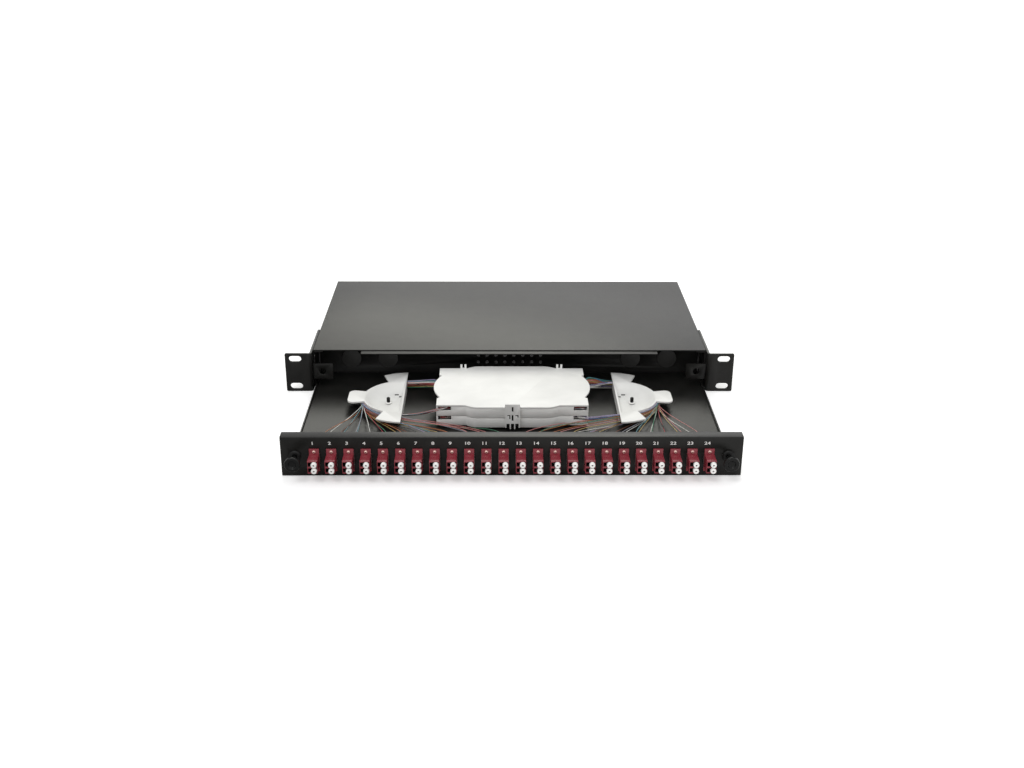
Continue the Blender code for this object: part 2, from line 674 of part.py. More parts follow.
def make_latch(side, name, drawer, knob, finishes):
    """A nylon push-pull latch: a grommet through the panel and a plunger in it."""
    place = Matrix.Translation((side * KNOB_X, 0.0, KNOB_Z)) @ ALONG_Y
    collar_rear = FACE - GAP
    collar_front = collar_rear - GROMMET_COLLAR_THICK
    grommet = [
        (GROMMET_BORE / 2, collar_front),
        (GROMMET_COLLAR / 2 - PANEL_BEND, collar_front),
        (GROMMET_COLLAR / 2, collar_rear - GROMMET_COLLAR_THICK / 2),
        (GROMMET_COLLAR / 2, collar_rear),
        (GROMMET_WIDTH / 2, collar_rear),
        (GROMMET_WIDTH / 2, GROMMET_END - GROMMET_REACH / 2),
        (GROMMET_WIDTH / 2 - GAP, GROMMET_END),
        (GROMMET_BORE / 2, GROMMET_END),
    ]
    bm = turned(grommet, place, 16, ring=True)
    add(f"latch_grommet_{name}", bm, drawer, finishes["black"], smooth=True)
    front = FACE - KNOB_REACH
    neck_rear = collar_front - GAP - KNOB_STROKE
    plunger = [
        (0.0, front + KNOB_DISH),
        (KNOB_WIDTH / 2 - 3 * KNOB_DISH, front + KNOB_DISH),
        (KNOB_WIDTH / 2 - KNOB_DISH, front),
        (KNOB_WIDTH / 2, front + KNOB_DISH / 2),
        (KNOB_WIDTH / 2, front + KNOB_RIM),
        (KNOB_NECK_FRONT / 2, front + KNOB_RIM + KNOB_DISH / 2),
        (KNOB_NECK_REAR / 2, neck_rear),
        (KNOB_PIN / 2, neck_rear),
        (KNOB_PIN / 2, FACE + KNOB_PIN_REACH),
        (0.0, FACE + KNOB_PIN_REACH),
    ]
    add(f"latch_knob_{name}", turned(plunger, place, 20), knob, finishes["black"], smooth=True)


def tray_outline(waist_end, waist_half, waist_bow):
    """Plan of a tray or lid about the stack's centre. Ends are waisted in, or bowed out past the corners."""
    depth, width = TRAY_HALF_DEPTH, TRAY_HALF_WIDTH
    shoulder = []
    for step in range(5):
        t = step / 4
        x = TRAY_SHOULDER - TRAY_SHOULDER_RUN * t
        shoulder.append((x, depth + TRAY_BULGE * math.sin(math.pi / 2 * t)))
    end = [(width, depth), (width, waist_half + LID_END_STEP), (waist_end, waist_half)]
    quarter = list(reversed(shoulder)) + end
    bow = []
    if waist_bow > 0:
        radius = (waist_half**2 + waist_bow**2) / (2 * waist_bow)
        spread = math.degrees(math.asin(waist_half / radius))
        bow = arc((waist_end + waist_bow - radius, 0.0), radius, spread, -spread, 10)[1:-1]
    right = quarter + bow + [(x, -y) for x, y in reversed(quarter)]
    left = [(-x, y) for x, y in reversed(right)]
    return [(STACK_X + x, STACK_Y + y) for x, y in right + left]


def add_hinge_ears(bm, ear_x, ear_width, neck_low, neck_end):
    """Rings round the hinge rod, each with a neck back to its tray or lid."""
    for side in (-1, 1):
        low = STACK_X + side * ear_x - ear_width / 2
        high = low + ear_width
        ring = arc((HINGE_Y, HINGE_Z), HINGE_RING, 90, 360, 12)
        neck = [
            (HINGE_Y + HINGE_RING, HINGE_Z - HINGE_RING + GAP),
            (TRAY_FRONT, HINGE_Z - HINGE_RING + GAP),
            (TRAY_FRONT, neck_low),
            (neck_end, neck_low),
            (neck_end, HINGE_Z),
            (HINGE_Y, HINGE_Z + HINGE_RING),
        ]
        if TRAY_FRONT < HINGE_Y + HINGE_RING:
            ring = [point for point in ring if point[0] < TRAY_FRONT or point[1] > HINGE_Z]
            ring = [point for point in ring if point[0] < TRAY_FRONT]
            neck = neck[1:5]
        add_prism(bm, ring + neck, low, high, "x")


def make_splice_tray(name, under, carrier, finishes):
    """A tray moulded with walls, open fibre entries at its four corners, and a clear middle."""
    top = under + TRAY_HEIGHT
    outline = tray_outline(TRAY_WAIST, LID_END_HALF, 0.0)
    bm = prism(outline, under, top)
    lids = [face for face in bm.faces if all(abs(vert.co.z - top) < 1e-6 for vert in face.verts)]
    bmesh.ops.inset_region(bm, faces=lids, thickness=TRAY_WALL, use_even_offset=True)
    sunk = bmesh.ops.extrude_face_region(bm, geom=lids)["geom"]
    bmesh.ops.delete(bm, geom=lids, context="FACES_ONLY")
    moved = [item for item in sunk if isinstance(item, bmesh.types.BMVert)]
    bmesh.ops.translate(bm, verts=moved, vec=(0, 0, TRAY_FLOOR - TRAY_HEIGHT))
    tray = add(name, bm, carrier, finishes["white"])
    entries = bmesh.new()
    front = STACK_Y - TRAY_HALF_DEPTH
    back = STACK_Y + LID_END_HALF
    for side in (-1, 1):
        ends = sorted((side * (TRAY_HALF_WIDTH - ENTRY_INSET), side * (TRAY_HALF_WIDTH - ENTRY_INSET - ENTRY_WIDTH)))
        low = (STACK_X + ends[0], front - TRAY_WALL, top - ENTRY_HEIGHT)
        add_box(entries, low, (STACK_X + ends[1], front + 2 * TRAY_WALL, top + SHEET))
        ends = sorted((side * (TRAY_WAIST + GAP), side * (TRAY_HALF_WIDTH - ENTRY_INSET - GAP)))
        low = (STACK_X + ends[0], back - TRAY_WALL, top - ENTRY_HEIGHT)
        add_box(entries, low, (STACK_X + ends[1], back + 2 * TRAY_WALL + LID_END_STEP, top + SHEET))
    combine(tray, add(f"cut_{name}", entries, carrier), "DIFFERENCE")
    return tray


def make_splice_holder(name, tray_under, carrier, finishes):
    """A comb of ribs that holds the splice sleeves in the middle of a tray."""
    low = tray_under + TRAY_FLOOR + GAP
    top = low + SPLICE_BED_THICK
    half = SPLICE_BED_WIDTH / 2
    bed = boxes(
        (
            (STACK_X - half, STACK_Y - SPLICE_BED_DEPTH / 2, low),
            (STACK_X + half, STACK_Y + SPLICE_BED_DEPTH / 2, top),
        )
    )
    holder = add(name, bed, carrier, finishes["white"])
    ribs = bmesh.new()
    for index in range(SPLICE_PLACES + 1):
        y = STACK_Y + (index - SPLICE_PLACES / 2) * SPLICE_PITCH
        y = min(max(y, STACK_Y - SPLICE_BED_DEPTH / 2 + SPLICE_RIB / 2), STACK_Y + SPLICE_BED_DEPTH / 2 - SPLICE_RIB / 2)
        for side in (-1, 1):
            ends = sorted((side * half * 0.92, side * half * 0.3))
            start = (STACK_X + ends[0], y - SPLICE_RIB / 2, low + SPLICE_BED_THICK / 2)
            add_box(ribs, start, (STACK_X + ends[1], y + SPLICE_RIB / 2, low + SPLICE_RIB_HEIGHT))
    combine(holder, add(f"add_ribs_{name}", ribs, carrier), "UNION")
    sleeves = bmesh.new()
    for index in range(SPLICE_PLACES):
        y = STACK_Y + (index - (SPLICE_PLACES - 1) / 2) * SPLICE_PITCH
        place = Matrix.Translation((STACK_X, y, top + SPLICE_SLEEVE / 2 - SPLICE_BED_THICK / 4)) @ ALONG_X
        reach = SPLICE_SLEEVE_LENGTH / 2
        add_turned(sleeves, rod_profile(SPLICE_SLEEVE / 2, -reach, reach), place, 6)
    combine(holder, add(f"add_sleeves_{name}", sleeves, carrier), "UNION")


def make_stack(drawer, upper, lid, finishes):
    """The mount, the two trays, the lid, the hinge ladder in front of them and the clips at the back."""
    half_width, half_depth = MOUNT_WIDTH / 2, MOUNT_DEPTH / 2
    mount = boxes(
        ((STACK_X - half_width, STACK_Y - half_depth, SEAT), (STACK_X + half_width, STACK_Y + half_depth, SEAT + MOUNT_WEB))
    )
    mount = add("tray_mount", mount, drawer, finishes["white"])
    rails = bmesh.new()
    for side in (-1, 1):
        ends = sorted((side * half_depth, side * (half_depth - MOUNT_RAIL)))
        low = (STACK_X - half_width, STACK_Y + ends[0], SEAT)
        add_box(rails, low, (STACK_X + half_width, STACK_Y + ends[1], MOUNT_TOP))
    combine(mount, add("add_mount_rails", rails, drawer), "UNION")

    make_splice_tray("splice_tray_lower", LOWER_UNDER, drawer, finishes)
    make_splice_holder("splice_holder_lower", LOWER_UNDER, drawer, finishes)
    tray = make_splice_tray("splice_tray_upper", UPPER_UNDER, upper, finishes)
    make_splice_holder("splice_holder_upper", UPPER_UNDER, upper, finishes)

    riser_end = TRAY_FRONT + TRAY_WALL
    ears = bmesh.new()
    add_hinge_ears(ears, TRAY_EAR_X, TRAY_EAR, UPPER_TOP - TRAY_WALL, riser_end)
    combine(tray, add("add_tray_ears", ears, upper), "UNION")

    outline = tray_outline(TRAY_HALF_WIDTH - LID_END_NOTCH, LID_END_HALF, LID_END - TRAY_HALF_WIDTH + LID_END_NOTCH)
    cover = add("splice_tray_lid", prism(outline, LID_UNDER, STACK_TOP), lid, finishes["white"])
    notches = bmesh.new()
    for side in (-1, 1):
        middle = STACK_X + side * TRAY_EAR_X
        reach = TRAY_EAR / 2 + GAP
        low = (middle - reach, TRAY_FRONT - TRAY_WALL, LID_UNDER - SHEET)
        add_box(notches, low, (middle + reach, riser_end + GAP, STACK_TOP + SHEET))
    combine(cover, add("cut_lid_notches", notches, lid), "DIFFERENCE")
    ears = bmesh.new()
    add_hinge_ears(ears, LID_EAR_X, LID_EAR, LID_UNDER, riser_end)
    combine(cover, add("add_lid_ears", ears, lid), "UNION")

    bore = HINGE_ROD + GAP
    for obj, ear_x, carrier in ((tray, TRAY_EAR_X, upper), (cover, LID_EAR_X, lid)):
        holes = bmesh.new()
        for side in (-1, 1):
            place = Matrix.Translation((STACK_X + side * ear_x, HINGE_Y, HINGE_Z)) @ ALONG_X
            add_turned(holes, rod_profile(bore, -TRAY_EAR, TRAY_EAR), place, 12)
        combine(obj, add(f"cut_bore_{obj.name}", holes, carrier), "DIFFERENCE")

    for side, name in ((-1, "left"), (1, "right")):
        middle = STACK_X + side * CLIP_X
        back = STACK_Y + TRAY_HALF_DEPTH + GAP
        half = CLIP_WIDTH / 2
        clip = [
            (middle - half, UPPER_UNDER),
            (middle + half, UPPER_UNDER),
            (middle + half, STACK_TOP + CLIP_RISE),
            (middle + half - CLIP_PRONG, STACK_TOP + CLIP_RISE),
            (middle + half - CLIP_PRONG, STACK_TOP),
            (middle - half + CLIP_PRONG, STACK_TOP),
            (middle - half + CLIP_PRONG, STACK_TOP + CLIP_RISE),
            (middle - half, STACK_TOP + CLIP_RISE),
        ]
        add(f"tray_clip_{name}", prism(clip, back, back + CLIP_THICK, "y"), upper, finishes["white"])


def make_ladder(drawer, finishes):
    """The ladder: a thick slotted plate with legs below, and a hinge rod in the pocket behind its top."""
    half = LADDER_WIDTH / 2
    top = HINGE_Z + LADDER_RISE
    finger_in = LADDER_FINGER_X - LADDER_FINGER / 2
    finger_out = LADDER_FINGER_X + LADDER_FINGER / 2
    right = [
        (finger_in, LADDER_CROTCH),
        (finger_in, LADDER_UNDER),
        (finger_out, LADDER_UNDER),
        (finger_out, LADDER_CROTCH),
        (half - LADDER_LEG, LADDER_CROTCH),
        (half - LADDER_LEG, LADDER_LEG_UNDER),
        (half, LADDER_LEG_UNDER),
        (half, top),
    ]
    outline = [(STACK_X + x, z) for x, z in right]
    outline += [(STACK_X - x, z) for x, z in reversed(right)]
    ladder = prism(outline, LADDER_FRONT, LADDER_BACK, "y")
    ladder = add("hinge_ladder", ladder, drawer, finishes["white"])

    post = TRAY_EAR_X + TRAY_EAR / 2 + EAR_GAP
    post_top = HINGE_Z + MERLON_RISE
    clear = half + SHEET
    right = [
        (MERLON_HALF, post_top),
        (MERLON_HALF, LADDER_SADDLE),
        (post, LADDER_SADDLE),
        (post, post_top),
        (clear, post_top),
        (clear, top + SHEET),
    ]
    outline = [(STACK_X + x, z) for x, z in right]
    outline += [(STACK_X - x, z) for x, z in reversed(right)]
    pocket = prism(outline, SKIN_BACK, LADDER_BACK + SHEET, "y")
    combine(ladder, add("cut_ladder_pocket", pocket, drawer), "DIFFERENCE")

    slots = bmesh.new()
    reach = (LADDER_FRONT - SHEET, LADDER_BACK + SHEET)
    for low, high in LADDER_SLOTS:
        start = (STACK_X - LADDER_SLOT / 2, reach[0], low)
        add_box(slots, start, (STACK_X + LADDER_SLOT / 2, reach[1], high))
    for left, right, low in HOOK_SLOTS:
        hook = [
            (left, HOOK_SLOT_TOP),
            (right, HOOK_SLOT_TOP),
            (right, low),
            (right - HOOK_SLOT_BAR, low),
            (right - HOOK_SLOT_BAR, HOOK_SLOT_TOP - HOOK_SLOT_BAR),
            (left, HOOK_SLOT_TOP - HOOK_SLOT_BAR),
        ]
        add_prism(slots, [(STACK_X + x, z) for x, z in hook], *reach, "y")
    combine(ladder, add("cut_ladder_slots", slots, drawer), "DIFFERENCE")
    rod = rod_profile(HINGE_ROD, -half + LADDER_LEG / 2, half - LADDER_LEG / 2)
    rod = turned(rod, Matrix.Translation((STACK_X, HINGE_Y, HINGE_Z)) @ ALONG_X, 12)
    combine(ladder, add("add_hinge_rod", rod, drawer), "UNION")


def guide_lip_outline(side):
    """Plan of a guide's lips: two horns on the straight side, and the arm on the round one."""
    centre = (DRUM_X, GUIDE_Y)
    notch = math.degrees(math.asin(HORN_NOTCH_HALF / DRUM_RADIUS))
    root = math.degrees(math.asin(ARM_ROOT_HALF / DRUM_RADIUS))
    end = GUIDE_X + ARM_REACH
    half = []
    for step in range(5):
        t = step / 4
        bow = 4 * HORN_BOW * t * (1 - t)
        out = GUIDE_HALF + (HORN_TIP_HALF - GUIDE_HALF) * t + bow
        half.append((GUIDE_X + HORN_REACH * t, GUIDE_Y - out))
    half += arc(centre, DRUM_RADIUS, -notch, -root, 7)
    corner = (end - ARM_CORNER, GUIDE_Y - ARM_TIP_HALF + ARM_CORNER)
    half += arc(corner, ARM_CORNER, -95, 0, 4)
    whole = half + [(x, 2 * GUIDE_Y - y) for x, y in reversed(half)]
    return on_side(side, whole)


def half_round(radius, flat, steps):
    """Plan of a drum cut off by a straight wall."""
    spread = math.degrees(math.acos((flat - DRUM_X) / radius))
    return arc((DRUM_X, GUIDE_Y), radius, -spread, spread, steps)


def make_guide(side, name, drawer, finishes):
    """A fibre guide: a half-round drum that the fibres bend round, under lips that keep them down."""
    drum = prism(on_side(side, half_round(DRUM_RADIUS, GUIDE_X, 24)), SEAT, GUIDE_TOP)
    guide = add(f"fibre_guide_{name}", drum, drawer, finishes["white"], smooth=True)
    lips = prism(guide_lip_outline(side), GUIDE_LIP_UNDER, GUIDE_TOP)
    combine(guide, add(f"add_guide_lips_{name}", lips, drawer), "UNION")
    bowl = bmesh.new()
    levels = [(GUIDE_TOP + SHEET, BOWL_LEVELS[0][1])]
    levels += [(GUIDE_TOP + (BOWL_FLOOR - GUIDE_TOP) * sink, shrink) for sink, shrink in BOWL_LEVELS]
    rings = []
    for z, shrink in levels:
        flat = GUIDE_X + GUIDE_WALL + shrink / 4
        plan = on_side(side, half_round(DRUM_RADIUS - GUIDE_WALL - shrink, flat, 24))
        rings.append([bowl.verts.new((x, y, z)) for x, y in plan])
    for ring, following in zip(rings, rings[1:]):
        for index in range(len(ring)):
            nearby = (index + 1) % len(ring)
            bowl.faces.new((ring[index], ring[nearby], following[nearby], following[index]))
    bowl.faces.new(rings[0])
    bowl.faces.new(rings[-1])
    combine(guide, add(f"cut_guide_bowl_{name}", bowl, drawer), "DIFFERENCE")
    holes = bmesh.new()
    stud_hole = rod_profile(STUD_WIDTH / 2 + GAP, 0.0, GUIDE_TOP)
    add_turned(holes, stud_hole, Matrix.Translation((side * STUD_X, GUIDE_Y, 0.0)), 12)
    for x, y in TIE_SLOT_PLACES:
        centre = Vector((side * (GUIDE_X + x), GUIDE_Y + y, 0.0))
        size = Vector((TIE_SLOT / 2, TIE_SLOT_WIDTH / 2, 0.0))
        add_box(holes, centre - size, centre + size + Vector((0.0, 0.0, GUIDE_TOP)))
    combine(guide, add(f"cut_guide_holes_{name}", holes, drawer), "DIFFERENCE")

    washer = BOWL_FLOOR + GAP
    stud = [
        (0.0, SEAT),
        (STUD_WIDTH / 2, SEAT),
        (STUD_WIDTH / 2, washer),
        (WASHER_WIDTH / 2, washer),
        (WASHER_WIDTH / 2, washer + WASHER_THICK),
        (STUD_WIDTH / 2, washer + WASHER_THICK),
        (STUD_WIDTH / 2, STUD_TOP),
        (0.0, STUD_TOP),
    ]
    stud = turned(stud, Matrix.Translation((side * STUD_X, GUIDE_Y, 0.0)), 12)
    add(f"guide_stud_{name}", stud, drawer, finishes["zinc"], smooth=True)


def make_pigtails(side, name, drawer, finishes):
    """The pigtails of half the ports: plugs, boots and fibres, gathered round the drum and led to a tray."""
    level = (SEAT + GUIDE_LIP_UNDER) / 2
    radius = DRUM_RADIUS + GAP + BUNDLE_WIDTH / 2
    wrap = [Vector((side * x, y, level)) for x, y in arc((DRUM_X, GUIDE_Y), radius, WRAP_START, WRAP_LAST, 20)]
    entry = Vector((STACK_X + side * (TRAY_WAIST + TRAY_HALF_WIDTH) / 2, STACK_Y + LID_END_HALF - GAP, 0.0))
    entry.z = LOWER_TOP - ENTRY_HEIGHT / 2
    tail = bezier(
        entry,
        entry + Vector((side * 16.0 * MM, -2.0 * MM, -1.0 * MM)),
        wrap[0] + Vector((-side * 14.0 * MM, -0.5 * MM, 0.0)),
        wrap[0],
        6,
    )
    bundle = bmesh.new()
    add_tube(bundle, tail[:-1] + wrap, BUNDLE_WIDTH, 6)
    harness = add(f"pigtails_{name}", bundle, drawer, finishes["fibre"])
    fan = bmesh.new()
    plug_front = FACE + PORT_BACK_REACH + GAP
    plug_rear = plug_front + PLUG_LENGTH
    first = 0 if side < 0 else PORTS // 2
    for index in range(first, first + PORTS // 2):
        x = port_x(index)
        low = (x - PLUG_WIDTH / 2, plug_front, PORT_Z - PLUG_HEIGHT / 2)
        add_box(fan, low, (x + PLUG_WIDTH / 2, plug_rear, PORT_Z + PLUG_HEIGHT / 2))
        boot_middle = plug_rear + (BOOT_LENGTH - SHEET) / 2
        bmesh.ops.create_cone(
            fan,
            cap_ends=True,
            segments=4,
            radius1=BOOT_WIDTH / 2,
            radius2=BOOT_TIP / 2,
            depth=BOOT_LENGTH + SHEET,
            matrix=Matrix.Translation((x, boot_middle, PORT_Z)) @ ALONG_Y,
        )
        tip = Vector((x, plug_rear + BOOT_LENGTH, PORT_Z))
        inward = (PORTS - 1) / 2 * PORT_PITCH - abs(x)
        turn = WRAP_FIRST + (WRAP_LAST + 4.0 - WRAP_FIRST) * inward / (PORTS * PORT_PITCH / 2)
        angle = math.radians(turn)
        root = Vector((side * (DRUM_X + radius * math.cos(angle)), GUIDE_Y + radius * math.sin(angle), level))
        heading = Vector((side * math.sin(angle), -math.cos(angle), 0.0))
        leave = tip + Vector((0.0, 20.0 * MM, 0.0))
        arrive = root + heading * 25.0 * MM
        start = tip - Vector((0.0, BOOT_LENGTH / 2, 0.0))
        add_tube(fan, [start] + bezier(tip, leave, arrive, root, 8), FIBRE_WIDTH)
    slot = Vector(
        (
            STACK_X + side * (TRAY_HALF_WIDTH - ENTRY_INSET - ENTRY_WIDTH / 2),
            STACK_Y - TRAY_HALF_DEPTH - GAP,
            UPPER_TOP - ENTRY_HEIGHT / 2,
        )
    )
    middle = Vector((side * (DRUM_X - 2.0 * MM), GUIDE_Y - radius, level))
    lead = bezier(
        slot,
        slot + Vector((side * 9.0 * MM, -6.0 * MM, -2.0 * MM)),
        middle + Vector((-side * 16.0 * MM, -4.0 * MM, 2.0 * MM)),
        middle,
        7,
    )
    add_tube(fan, lead, LEAD_WIDTH, 6)
    combine(harness, add(f"add_fan_{name}", fan, drawer), "UNION", whole=True)


def main():
    for obj in list(bpy.data.objects):
        bpy.data.objects.remove(obj)
    finishes = {
        "steel": make_material("black powder-coated steel", (0.018, 0.018, 0.018), 0.45),
        "zinc": make_material("zinc-plated steel", (0.42, 0.42, 0.40), 0.3, 1.0),
        "black": make_material("black nylon", (0.012, 0.012, 0.012), 0.5),
        "rubber": make_material("black rubber", (0.02, 0.02, 0.02), 0.7),
        "white": make_material("white moulded plastic", (0.85, 0.85, 0.82), 0.45),
        "crimson": make_material("crimson moulded plastic", (0.30, 0.02, 0.05), 0.35),
        "fibre": make_material("coloured fibre coating", (0.45, 0.16, 0.08), 0.4),
    }
    case = Carrier("case", (0.0, 0.0, 0.0))
    drawer = Carrier("drawer", (0.0, 0.0, 0.0), case)
    hinge = (STACK_X, HINGE_Y, HINGE_Z)
    upper = Carrier("upper_tray_hinge", hinge, drawer)
    lid = Carrier("lid_hinge", hinge, upper)
    make_case(case, finishes)
    make_drawer(drawer, finishes)
    make_adapters(drawer, finishes)
    make_stack(drawer, upper, lid, finishes)
    make_ladder(drawer, finishes)
    for side, name in ((-1, "left"), (1, "right")):
        make_ear(side, name, case, finishes)
        knob = Carrier(f"knob_{name}", (side * KNOB_X, FACE, KNOB_Z), drawer)
        make_latch(side, name, drawer, knob, finishes)
        make_guide(side, name, drawer, finishes)
        make_pigtails(side, name, drawer, finishes)


main()
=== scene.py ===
"""Looks of the fibre patch panel: finishes, printed numbers, coloured fibres, connectors, caps and screws.

Points are written in millimetres in the rack frame, as in the part: x to the right, y to the rear from the
front of the ears, z up from the underside. spot() turns them into the frame's metres. A side is -1 on the
left and 1 on the right."""

import math
import random

import bmesh
import bpy
from mathutils import Matrix, Vector


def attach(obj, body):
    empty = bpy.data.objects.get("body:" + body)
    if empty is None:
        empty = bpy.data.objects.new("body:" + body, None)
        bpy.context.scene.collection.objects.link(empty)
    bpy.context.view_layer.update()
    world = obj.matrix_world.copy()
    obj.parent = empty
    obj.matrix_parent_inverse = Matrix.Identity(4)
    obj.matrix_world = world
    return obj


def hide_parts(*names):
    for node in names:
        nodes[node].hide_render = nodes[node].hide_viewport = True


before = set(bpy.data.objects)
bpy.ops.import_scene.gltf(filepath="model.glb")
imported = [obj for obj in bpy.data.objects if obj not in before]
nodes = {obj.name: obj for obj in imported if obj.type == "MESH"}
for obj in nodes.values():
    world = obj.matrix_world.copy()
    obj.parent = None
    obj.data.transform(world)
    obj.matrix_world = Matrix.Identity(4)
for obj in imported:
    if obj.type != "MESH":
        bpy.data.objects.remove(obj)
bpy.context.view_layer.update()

MM = 0.001
SIDES = ((-1, "left"), (1, "right"))

# Rack y of the frame's origin
MIDDLE_Y = 12.25

# Front panel, ports and adapters
FACE = -196.7
PORTS = 24
PORT_PITCH = 16.15
PORT_Z = 17.5
BORE_RISE = 3.05
ADAPTER_FRONT = FACE - 16.4
FLANGE_FRONT = FACE - 1.9
PLUG_FRONT = FACE + 13.3
PLUG_LENGTH = 11.0
FIBRE_TIP = FACE + 39.3

# Latch knobs
KNOB_X = 204.0
KNOB_Z = 21.3
KNOB_FRONT = FACE - 19.6

# Fibre guides: each one's origin, its stud and the drum that the fibres wrap
GUIDE_X = 112.0
STUD_X = 129.0
DRUM_X = 114.9
DRUM_Y = -44.5
DRUM_RADIUS = 40.3

# Splice trays: the middle of the stack, and the underside of each tray
STACK_X = 1.5
STACK_Y = -49.9
LOWER_TRAY_Z = 5.6
UPPER_TRAY_Z = 16.0


def spot(x, y, z):
    return Vector((x, y - MIDDLE_Y, z)) * MM


def port_x(index):
    return (index - (PORTS - 1) / 2) * PORT_PITCH


def port_shift(index):
    """The way from x = 0, where a port's meshes are drawn, to the port."""
    return Vector((port_x(index) * MM, 0.0, 0.0))


ALONG_X = Matrix.Rotation(math.pi / 2, 4, "Y")
AGAINST_X = Matrix.Rotation(-math.pi / 2, 4, "Y")
ALONG_Y = Matrix.Rotation(-math.pi / 2, 4, "X")


def new_object(name, data):
    made = bpy.data.objects.new(name, data)
    bpy.context.scene.collection.objects.link(made)
    return made


# Camera, fitted to the photo: pitch, yaw and roll are in degrees
CAMERA_PLACE = (-15.9, -1215.94, 543.81)
CAMERA_ANGLES = (23.76, 0.86, 0.37)
CAMERA_LENS = 42.71
CAMERA_SENSOR = 36.0


def place_camera():
    data = bpy.data.cameras.new("photo_camera")
    data.sensor_width = CAMERA_SENSOR
    data.lens = CAMERA_LENS
    data.clip_start = 0.01
    data.clip_end = 50.0
    pitch, yaw, roll = (math.radians(angle) for angle in CAMERA_ANGLES)
    ahead = Vector((math.sin(yaw) * math.cos(pitch), math.cos(yaw) * math.cos(pitch), -math.sin(pitch)))
    level = Vector((math.cos(yaw), -math.sin(yaw), 0.0))
    rise = level.cross(ahead)
    right = level * math.cos(roll) + rise * math.sin(roll)
    up = rise * math.cos(roll) - level * math.sin(roll)
    turn = Matrix((right, up, -ahead)).transposed().to_4x4()
    camera = new_object("photo_camera", data)
    camera.matrix_world = Matrix.Translation(spot(*CAMERA_PLACE)) @ turn
    bpy.context.scene.camera = camera


# Materials
def shader_of(made):
    return made.node_tree.nodes["Principled BSDF"]


def material(name, colour, roughness, metallic=0.0, specular=0.5):
    made = bpy.data.materials.new(name)
    made.use_nodes = True
    inputs = shader_of(made).inputs
    inputs["Base Color"].default_value = (*colour, 1.0)
    inputs["Roughness"].default_value = roughness
    inputs["Metallic"].default_value = metallic
    inputs["Specular IOR Level"].default_value = specular
    made.diffuse_color = (*colour, 1.0)
    return made


def noise(made, scale, detail=2.0, roughness=0.5):
    tree = made.node_tree
    coords = tree.nodes.get("place") or tree.nodes.new("ShaderNodeTexCoord")
    coords.name = "place"
    texture = tree.nodes.new("ShaderNodeTexNoise")
    texture.inputs["Scale"].default_value = scale
    texture.inputs["Detail"].default_value = detail
    texture.inputs["Roughness"].default_value = roughness
    tree.links.new(coords.outputs["Object"], texture.inputs["Vector"])
    return texture.outputs["Fac"]


def vary_roughness(made, value, low, high):
    """Lets the roughness wander between two limits. Noise seldom leaves the range from 0.3 to 0.7."""
    tree = made.node_tree
    ramp = tree.nodes.new("ShaderNodeMapRange")
    ramp.inputs["From Min"].default_value = 0.3
    ramp.inputs["From Max"].default_value = 0.7
    ramp.inputs["To Min"].default_value = low
    ramp.inputs["To Max"].default_value = high
    tree.links.new(value, ramp.inputs["Value"])
    tree.links.new(ramp.outputs["Result"], shader_of(made).inputs["Roughness"])


def mottle(made, value, low, high):
    """Lets the base colour wander between two colours."""
    tree = made.node_tree
    ramp = tree.nodes.new("ShaderNodeValToRGB")
    for element, position, colour in zip(ramp.color_ramp.elements, (0.35, 0.65), (low, high)):
        element.position = position
        element.color = (*colour, 1.0)
    tree.links.new(value, ramp.inputs["Fac"])
    tree.links.new(ramp.outputs["Color"], shader_of(made).inputs["Base Color"])


def relief(made, value, strength, distance):
    tree = made.node_tree
    bump = tree.nodes.new("ShaderNodeBump")
    bump.inputs["Strength"].default_value = strength
    bump.inputs["Distance"].default_value = distance
    tree.links.new(value, bump.inputs["Height"])
    tree.links.new(bump.outputs["Normal"], shader_of(made).inputs["Normal"])


def powder_coat(name, low, high, roughness):
    made = material(name, high, roughness, specular=0.24)
    mottle(made, noise(made, scale=60.0, detail=4.0), low, high)
    fine = noise(made, scale=2600.0)
    vary_roughness(made, fine, roughness - 0.05, roughness + 0.08)
    relief(made, fine, strength=0.25, distance=0.00012)
    return made


def moulded(name, colour, roughness, specular=0.5, grain=0.06):
    made = material(name, colour, roughness, specular=specular)
    shade = tuple(channel * 0.93 for channel in colour)
    mottle(made, noise(made, scale=35.0, detail=3.0), shade, colour)
    fine = noise(made, scale=1400.0, detail=3.0)
    vary_roughness(made, fine, roughness - 0.04, roughness + 0.06)
    relief(made, fine, strength=grain, distance=0.0001)
    return made


def metal(name, colour, roughness):
    made = material(name, colour, roughness, metallic=1.0)
    fine = noise(made, scale=900.0, detail=4.0, roughness=0.6)
    vary_roughness(made, fine, roughness - 0.08, roughness + 0.12)
    relief(made, fine, strength=0.08, distance=0.00005)
    return made


FIBRE_COLOURS = {
    "blue": (0.07, 0.18, 0.38),
    "orange": (0.42, 0.135, 0.04),
    "green": (0.05, 0.20, 0.11),
    "brown": (0.17, 0.06, 0.03),
    "slate": (0.31, 0.31, 0.36),
    "white": (0.76, 0.76, 0.72),
    "red": (0.42, 0.035, 0.05),
    "black": (0.012, 0.012, 0.012),
    "yellow": (0.50, 0.36, 0.13),
    "violet": (0.33, 0.28, 0.46),
    "rose": (0.52, 0.20, 0.19),
    "aqua": (0.09, 0.26, 0.30),
}
COLOURS = list(FIBRE_COLOURS)

